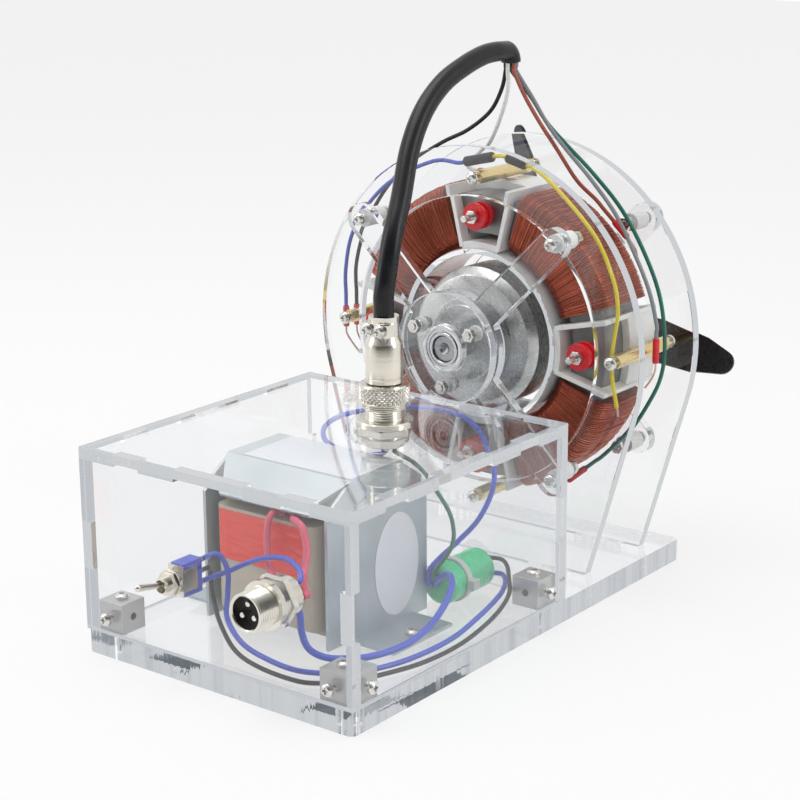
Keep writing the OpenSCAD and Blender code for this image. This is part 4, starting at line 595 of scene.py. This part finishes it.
wires("blue_wires_swept", smooth_wires([
    (blue_switch_wire, 1.1), (blue_inlet_wire, 1.4), (blue_cross_wire, 1.1),
    (blue_lid_wire, 1.1), (blue_lead, CORE_R)]), wire_blue, "blue_wires")
wires("black_wires_swept", smooth_wires([(black_switch_wire, 0.95), (black_core, CORE_R)]),
      wire_black, "black_wires")
wires("green_wires_swept", smooth_wires([(green_lid_wire, 0.9), (green_core, CORE_R)]),
      wire_green, "green_wires")
wires("yellow_wire_swept", smooth_wires([(yellow_link, CORE_R), (yellow_lead, CORE_R)]),
      wire_yellow, "yellow_wire")
wires("white_core_swept", smooth_wires([(white_core, CORE_R)]), wire_white, "cable_cores")
wires("brown_core_swept", smooth_wires([(brown_core, CORE_R)]), wire_brown, "cable_cores")
wires("grey_core_swept", smooth_wires([(grey_core, CORE_R)]), wire_grey, "cable_cores")
wires("transformer_leads_swept", smooth_wires([(left_lead, 1.5), (right_lead, 1.5)]),
      lead_pink, "transformer_leads")
print("cable and wires swept")

# %% [markdown]
# Each coil is wound from fine enamelled wire around a quarter of the laminated ring.
# Only the outer layer shows, so one long wire is worked out turn by turn over a plain
# lump: a turn is a rounded rectangle, the turns fan out from the shaft, and small
# random shifts make some of them cross their neighbours, as hand winding does. The
# lump takes a darker, duller copper, which is painted shade in the gaps between turns.

# %% Coils
AXIS_H, MOTOR_Y = 107.5, 78
COIL_IN, COIL_OUT = 40.35, 69.75
COIL_HALF = 17.95
COIL_SPAN = math.radians(53.4)
WIRE_R = 0.235
COIL_TURNS = 124
TURN_POINTS = 28
SQUARENESS = 0.42
LUMP_RINGS, LUMP_SIDES = 24, 64
LUMP_DEPTH = 0.62
LUMP_SHARE = 0.985
random.seed(11)


def turn_point(angle, along, depth):
    """A point of a turn: angle around the shaft, place along the turn, depth in mm."""
    c, s = math.cos(along), math.sin(along)
    mid, half_r = (COIL_IN + COIL_OUT) / 2, (COIL_OUT - COIL_IN) / 2 - depth
    r = mid + half_r * math.copysign(abs(c) ** SQUARENESS, c)
    y = (COIL_HALF - depth) * math.copysign(abs(s) ** SQUARENESS, s)
    return (r * math.cos(angle), MOTOR_Y + y, AXIS_H + r * math.sin(angle))


def winding_route(middle):
    made = []
    start = middle - COIL_SPAN / 2
    shift = 0.0
    for turn in range(COIL_TURNS):
        target = random.gauss(0, 0.003) + (random.choice((-1, 1)) * 0.018
                                           if random.random() < 0.10 else 0)
        depth = WIRE_R + abs(random.gauss(0, 0.09)) + (0.2 if turn % 2 else 0)
        for k in range(TURN_POINTS):
            t = k / TURN_POINTS
            shift += (target - shift) * 0.12
            angle = start + COIL_SPAN * (turn + t) / COIL_TURNS + shift
            angle = min(max(angle, start), start + COIL_SPAN)
            made.append(turn_point(angle, 2 * math.pi * t, depth))
    return made


def coil_lump(middle, bm):
    """The body under the turns, added to a mesh: rings of the turn's shape, closed ends."""
    rings = []
    for k in range(LUMP_RINGS + 1):
        angle = middle + COIL_SPAN * (k / LUMP_RINGS - 0.5) * LUMP_SHARE
        rings.append([bm.verts.new(Vector(turn_point(
            angle, 2 * math.pi * j / LUMP_SIDES, LUMP_DEPTH)) * MM) for j in range(LUMP_SIDES)])
    for a, b in zip(rings, rings[1:]):
        for j in range(LUMP_SIDES):
            n = (j + 1) % LUMP_SIDES
            bm.faces.new((a[j], a[n], b[n], b[j]))
    bm.faces.new(rings[0][::-1])
    bm.faces.new(rings[-1])


# %% Winding the four coils
lumps = bmesh.new()
for middle, node in ((45, "upper_right_winding"), (135, "upper_left_winding"),
                     (225, "lower_left_winding"), (315, "lower_right_winding")):
    wires(node + "_wire", [(winding_route(math.radians(middle)), WIRE_R)], copper, node, sides=5)
    coil_lump(math.radians(middle), lumps)
bmesh.ops.recalc_face_normals(lumps, faces=lumps.faces)
# The lumps take the darker copper, painted shade between the turns.
link_piece("coil_bodies", mesh_from(lumps), copper_painted_shade, "coil_cores")
print("four coils wound,", COIL_TURNS, "turns each")

# %% [markdown]
# Turned parts are made by one lathe helper. It spins a profile of radius and height
# around an axis, and can press a pattern into a stretch of it: a screw thread, or the
# crossed grooves of a knurl.

# %% The lathe
PATTERN_ROW = 0.25


def lathe(name, profile, origin, axis, material, node, steps=96, pattern=None,
          smooth_angle=35):
    """Spins (radius, height) points in mm around an axis through origin."""
    rows = []
    for (r0, z0), (r1, z1) in zip(profile, profile[1:]):
        count = 1
        if pattern and abs(r0 - pattern["r"]) < 1e-6 and abs(r1 - r0) < 1e-6:
            count = max(1, round(abs(z1 - z0) / PATTERN_ROW))
        rows += [(r0 + (r1 - r0) * k / count, z0 + (z1 - z0) * k / count) for k in range(count)]
    rows.append(profile[-1])
    turn = Vector((0, 0, 1)).rotation_difference(Vector(axis)).to_matrix().to_4x4()
    place = Matrix.Translation(Vector(origin) * MM) @ turn
    bm = bmesh.new()
    rings = []
    for r, z in rows:
        ring = []
        for k in range(steps):
            a = 2 * math.pi * k / steps
            cut = pattern["cut"](a, z) if pattern and abs(r - pattern["r"]) < 1e-6 \
                and pattern["low"] < z < pattern["high"] else 0
            ring.append(bm.verts.new(place @ (Vector(((r - cut) * math.cos(a),
                                                      (r - cut) * math.sin(a), z)) * MM)))
        rings.append(ring)
    for a, b in zip(rings, rings[1:]):
        for k in range(steps):
            n = (k + 1) % steps
            bm.faces.new((a[k], a[n], b[n], b[k]))
    bmesh.ops.remove_doubles(bm, verts=bm.verts, dist=1e-7)
    bmesh.ops.recalc_face_normals(bm, faces=bm.faces)
    return link_piece(name, mesh_from(bm, smooth_angle), material, node)


# %% Patterns for the lathe
def thread_cut(pitch, depth):
    def cut(angle, z):
        phase = (z / pitch - angle / (2 * math.pi)) % 1
        return depth * abs(2 * phase - 1)
    return cut


def knurl_cut(count, slope, depth):
    def cut(angle, z):
        a = (angle * count / (2 * math.pi) + z * slope) % 1
        b = (angle * count / (2 * math.pi) - z * slope) % 1
        return depth * max(1 - 2.6 * min(a, 1 - a), 1 - 2.6 * min(b, 1 - b), 0)
    return cut


# %% [markdown]
# The inlet and the lid socket are round metal connectors with a fine thread. The plug
# is drawn down by a ring with a diamond knurl. All are nickel plated.

# %% Connectors
lathe("inlet_shell_threaded", [(6.5, 27), (6.5, 0.4), (6.9, 0), (7.7, 0), (8, 0.4), (8, 9.9),
                               (10, 9.95), (10, 12.46), (8, 12.5), (8, 26.7), (7.7, 27),
                               (6.5, 27)],
      (29.5, -133, 44), (0, 1, 0), nickel, "inlet_shell", steps=96,
      pattern={"r": 8, "low": 0.8, "high": 9.7, "cut": thread_cut(1.0, 0.45)})
lathe("lid_socket_threaded", [(0, 79), (7.8, 79), (8, 79.3), (8, 80.9), (10, 80.98), (10, 82.9),
                              (8, 82.98), (8, 91.1), (11.6, 91.06), (12, 91.5), (12, 93.5),
                              (11.6, 94.0), (8, 94.05), (8, 102.7), (7.7, 103), (6.5, 103),
                              (6.5, 99), (0, 99)],
      (SOCKET_X, SOCKET_Y, 0), (0, 0, 1), nickel, "lid_socket", steps=96,
      pattern={"r": 8, "low": 94.5, "high": 102.6, "cut": thread_cut(1.0, 0.3)})
lathe("plug_barrel_turned", [(0, 103.05), (7.6, 103.05), (7.7, 103.2), (7.7, 104.5), (5.6, 104.5),
                             (5.6, 109.3), (7.4, 109.3), (7.7, 109.6), (7.7, 111.4), (7.45, 111.6),
                             (7.45, 111.9), (7.7, 112.1), (7.7, 124.8), (7.4, 125.9), (0, 126)],
      (SOCKET_X, SOCKET_Y, 0), (0, 0, 1), turned_nickel, "plug_barrel", steps=96)
lathe("coupling_ring_knurled", [(8.05, 99), (9.5, 99), (9.75, 99.2), (9.75, 99.6), (9.35, 99.8),
                                (9.75, 100.0), (9.75, 100.4), (9.35, 100.6), (9.75, 100.8),
                                (9.75, 101.3), (10.1, 101.5), (10.45, 101.9), (10.45, 108.3),
                                (10.0, 109), (5.7, 109), (5.7, 107), (8.05, 107), (8.05, 99)],
      (SOCKET_X, SOCKET_Y, 0), (0, 0, 1), nickel, "coupling_ring", steps=320,
      pattern={"r": 10.45, "low": 102.1, "high": 108.1, "cut": knurl_cut(34, 0.55, 0.55)},
      smooth_angle=14)
print("connectors turned")

# %% [markdown]
# The rotor is a stack of thin steel sheets between two cast rings, turned and ground
# as one. The lathe gives it crisp chamfers, and faces on its side take the darker
# ground steel. The shaft and the bearings with their shields are turned as well.

# %% Rotor
ROTOR_FRONT = 55
GROUND_FROM_R = 31.8
rotor = lathe("rotor_turned", [(6.02, -5), (16.6, -5), (17, -4.6), (17, -1), (19, -1), (19, 0.6),
                               (20.5, 0.9), (28.2, 0), (28.8, 0.3), (31.6, 3), (32, 3.4),
                               (32, 20.6), (31.6, 21), (29, 24), (19, 24), (17, 24.2),
                               (17, 28.6), (16.6, 29), (6.02, 29), (6.02, -5)],
              (0, ROTOR_FRONT, AXIS_H), (0, 1, 0), rotor_metal, "rotor", steps=128)
rotor.data.materials.append(rotor_steel)
for face in rotor.data.polygons:
    middle = face.center / MM
    if math.hypot(middle.x, middle.z - AXIS_H) > GROUND_FROM_R:
        face.material_index = 1
print("rotor of", len(rotor.data.polygons), "faces")

# %% Shaft and bearings
lathe("shaft_turned", [(0, 1.8), (0.8, 1.6), (2.5, 0.2), (2.7, 0), (5.4, 0), (6, 0.6), (6, 106.4),
                       (5.4, 107), (0, 107)],
      (0, 32.5, AXIS_H), (0, 1, 0), shaft_steel, "shaft", steps=96)
for place, back in (("front", 31.5), ("rear", 119.5)):
    lathe(place + "_bearing_shielded", [
        (7.45, 1.3), (7.9, 1.3), (7.9, 0.4), (9.1, 0.35), (9.2, 0), (10.2, 0), (10.5, 0.3),
        (10.5, 4.7), (10.2, 5), (9.2, 5), (9.1, 4.65), (7.9, 4.6), (7.9, 3.7), (7.45, 3.7),
        (7.45, 1.3)], (0, back, AXIS_H), (0, 1, 0), bearing_steel, "bearing_outer_rings")
print("shaft and bearings turned")

# %% [markdown]
# White paper keeps the turns off the clear liner. Its front edge was torn by hand and
# stands out in front of the coils. A slow and a quick noise along the edge tear it, and
# the sheet has a real thickness, so that light catches the tear.

# %% Insulating paper
PAPER_IN, PAPER_OUT = 40.06, 40.24
PAPER_FRONT, PAPER_BACK = 57.3, 97
SLOW_TEAR, QUICK_TEAR = 1.6, 1.1


def torn_paper(name, first, last):
    """Curved paper between two angles in degrees around the shaft."""
    bm = bmesh.new()
    loops = []
    for half_degree in range(2 * first, 2 * last + 1):
        angle = math.radians(half_degree / 2)
        front = (PAPER_FRONT + SLOW_TEAR * noise.noise(Vector((angle * 7, 2, 0)))
                 + QUICK_TEAR * noise.noise(Vector((angle * 26, 5, 0))))
        section = ((PAPER_IN, front), (PAPER_OUT, front), (PAPER_OUT, PAPER_BACK),
                   (PAPER_IN, PAPER_BACK))
        loops.append([bm.verts.new(Vector((r * math.cos(angle), y,
                                           AXIS_H + r * math.sin(angle))) * MM)
                      for r, y in section])
    for a, b in zip(loops, loops[1:]):
        for k in range(4):
            bm.faces.new((a[k], a[(k + 1) % 4], b[(k + 1) % 4], b[k]))
    bm.faces.new(loops[0][::-1])
    bm.faces.new(loops[-1])
    bmesh.ops.recalc_face_normals(bm, faces=bm.faces)
    link_piece(name, mesh_from(bm), insulating_paper, "stator_liner", replaces=False)


torn_paper("upper_paper", 3, 97)
torn_paper("lower_paper", -41, -14)
print("insulating paper torn")

# %% [markdown]
# The capacitor sits in a shrunk green sleeve, whose rims roll in over its ends. Short
# sleeves cover the solder joints of the wires, and shrink a little in the middle.

# %% Capacitor and sleeves
lathe("capacitor_sleeved", [(0, -1.2), (6.6, -1.2), (7.2, -0.8), (8.2, 0.1), (8.7, 1.0), (8.74, 2),
                            (8.74, 26.9), (8.6, 27.9), (8.0, 28.5), (7.2, 28.9), (7.0, 29.4),
                            (0, 29.5)],
      (29.5, -15, 19.75), (0, 1, 0), green_sleeve, "capacitor", steps=64)
SLEEVES = [((-11, 65, 184.5), (4, 65, 188), 2.3, wire_black),
           ((12, 64, 188.5), (22, 64, 186), 2.3, wire_black),
           ((-79, 72, 110), (-79, 72, 100), 1.5, red_plastic),
           ((-80.5, 66, 110), (-80.5, 66, 100), 1.5, red_plastic),
           ((-14.5, 80, 178.2), (-4.9, 80, 177.8), 1.5, red_plastic),
           ((49.4, 90, 160.4), (55.6, 91.4, 153.6), 1.5, red_plastic),
           ((78, 80, 114), (78, 80, 103), 1.5, red_plastic),
           ((45, 80, 50), (37, 78, 43), 1.5, red_plastic)]
for number, (start, end, radius, material) in enumerate(SLEEVES, 1):
    length = (Vector(end) - Vector(start)).length
    lathe(f"sleeve_{number}", [(0, 0), (radius * 0.8, 0), (radius * 0.95, 0.4), (radius, 1.2),
                               (radius * 0.97, length * 0.5), (radius, length - 1.2),
                               (radius * 0.95, length - 0.4), (radius * 0.8, length), (0, length)],
          start, Vector(end) - Vector(start), material, "lead_sleeves", steps=24)
dressed("copper_tails", bare_copper)
print(len(SLEEVES), "sleeves made")

# %% [markdown]
# Red tape holds the transformer's winding. It was pulled on by hand, so it lies in soft
# swells with sharper level folds. Two noises lift the points of a fine grid, and the
# grid is closed at the back, within the space of its solid.

# %% Tape
TAPE_COLUMNS, TAPE_LINES = 60, 36
TAPE_SWELL, TAPE_FOLD = 0.5, 0.5
TAPE_LEAST = 0.15
TAPE_FORWARD = 0.0001


def wrinkled_tape():
    """Tape over the winding's front, thicker than life."""
    low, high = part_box("transformer_tape")
    bm = bmesh.new()
    front = []
    for i in range(TAPE_COLUMNS + 1):
        column = []
        for j in range(TAPE_LINES + 1):
            x = low[0] + (high[0] - low[0]) * i / TAPE_COLUMNS
            z = low[2] + (high[2] - low[2]) * j / TAPE_LINES
            swell = noise.noise(Vector((x * 130, z * 220, 3))) * 0.5 + 0.5
            fold = abs(noise.noise(Vector((x * 60, z * 420, 9))))
            depth = min(1, TAPE_LEAST + TAPE_SWELL * swell + TAPE_FOLD * fold)
            column.append(bm.verts.new((x, low[1] + (high[1] - low[1]) * depth
                                        - TAPE_FORWARD, z)))
        front.append(column)
    for a, b in zip(front, front[1:]):
        for j in range(TAPE_LINES):
            bm.faces.new((a[j], b[j], b[j + 1], a[j + 1]))
    edge = bmesh.ops.extrude_face_region(bm, geom=list(bm.faces))
    for v in (g for g in edge["geom"] if isinstance(g, bmesh.types.BMVert)):
        v.co.y = high[1]
    bmesh.ops.recalc_face_normals(bm, faces=bm.faces)
    return link_piece("winding_tape_folded", mesh_from(bm), red_tape, "transformer_tape")


tape = wrinkled_tape()
print("tape of", len(tape.data.polygons), "faces")

# %% [markdown]
# The stage is a plain pale floor in even, soft light. Seen by the camera, or in a
# reflection or through clear sheet, the surroundings are white; the floor still takes
# the model's shadow.

# %% Floor
FLOOR_HALF = 3.0
FLOOR_DROP = 0.0002
FLOOR_GLOW = 0.72


def seen_directly(owner, rays):
    """1 for rays from the camera, from a mirror or through clear sheet, else 0."""
    seen = rays.outputs["Is Camera Ray"]
    for other in ("Is Glossy Ray", "Is Transmission Ray"):
        seen = add_node(owner, "ShaderNodeMath", {0: seen, 1: rays.outputs[other]},
                        operation="MAXIMUM").outputs[0]
    return seen


def stage_floor():
    mesh = bpy.data.meshes.new("floor")
    corners = [(-FLOOR_HALF, -FLOOR_HALF, 0), (FLOOR_HALF, -FLOOR_HALF, 0),
               (FLOOR_HALF, FLOOR_HALF, 0), (-FLOOR_HALF, FLOOR_HALF, 0)]
    mesh.from_pydata(corners, [], [(0, 1, 2, 3)])
    floor = bpy.data.objects.new("floor", mesh)
    floor.location.z = -FLOOR_DROP
    bpy.context.scene.collection.objects.link(floor)
    material, shader = new_material("pale_floor", Base_Color=(0.9, 0.9, 0.9), Roughness=0.7)
    glow = add_node(material, "ShaderNodeEmission", {"Color": (1, 1, 1, 1), "Strength": 1.0})
    rays = add_node(material, "ShaderNodeLightPath")
    share = add_node(material, "ShaderNodeMath", {0: seen_directly(material, rays), 1: FLOOR_GLOW},
                     operation="MULTIPLY").outputs[0]
    both = add_node(material, "ShaderNodeMixShader", {
        0: share, 1: shader.outputs[0], 2: glow.outputs[0]})
    material.node_tree.links.new(
        both.outputs[0], material.node_tree.nodes["Material Output"].inputs["Surface"])
    mesh.materials.append(material)


stage_floor()
print("floor laid")

# %% Surroundings
SKY_STRENGTH = 0.62
# Mirrors see a darker room in front of the model, which gives metal its contrast.
ROOM_HEADING = (0.50, -0.80, -0.10)
ROOM_STRENGTH = 0.12


def white_world():
    world = bpy.data.worlds.new("world")
    world.use_nodes = True
    bpy.context.scene.world = world
    sky = world.node_tree.nodes["Background"]
    rays = add_node(world, "ShaderNodeLightPath")
    plain = ranged(world, seen_directly(world, rays), SKY_STRENGTH, 1.0, 0.0, 1.0)
    heading = add_node(world, "ShaderNodeTexCoord").outputs["Generated"]
    room = add_node(world, "ShaderNodeVectorMath", {0: heading, 1: ROOM_HEADING},
                    operation="DOT_PRODUCT").outputs["Value"]
    dimmed = ranged(world, room, 1.0, ROOM_STRENGTH, 0.1, 0.75)
    mirrored = add_node(world, "ShaderNodeMath", {0: plain, 1: dimmed}, operation="MULTIPLY")
    strength = add_node(world, "ShaderNodeMix", {
        0: rays.outputs["Is Glossy Ray"], 2: plain, 3: mirrored.outputs[0]},
        data_type="FLOAT").outputs[0]
    sky.inputs["Color"].default_value = (1, 1, 1, 1)
    world.node_tree.links.new(strength, sky.inputs["Strength"])


white_world()
print("surroundings set")

# %% Lamps
def soft_lamp(name, place, target, size, power):
    data = bpy.data.lights.new(name, "AREA")
    data.shape = "RECTANGLE"
    data.size, data.size_y = size
    data.energy = power
    lamp = bpy.data.objects.new(name, data)
    lamp.location = place
    heading = Vector(target) - Vector(place)
    lamp.rotation_euler = heading.to_track_quat("-Z", "Y").to_euler()
    bpy.context.scene.collection.objects.link(lamp)


soft_lamp("top_softbox", (-0.25, -0.15, 1.1), (0, 0, 0.08), (0.9, 0.7), 4.5)
soft_lamp("left_softbox", (-1.0, -0.75, 0.55), (0, 0, 0.1), (0.5, 0.9), 3.0)
soft_lamp("right_softbox", (1.1, 0.25, 0.6), (0, 0, 0.1), (0.35, 0.9), 3.0)
bpy.context.scene.view_settings.view_transform = "Standard"
print("three soft lamps set")
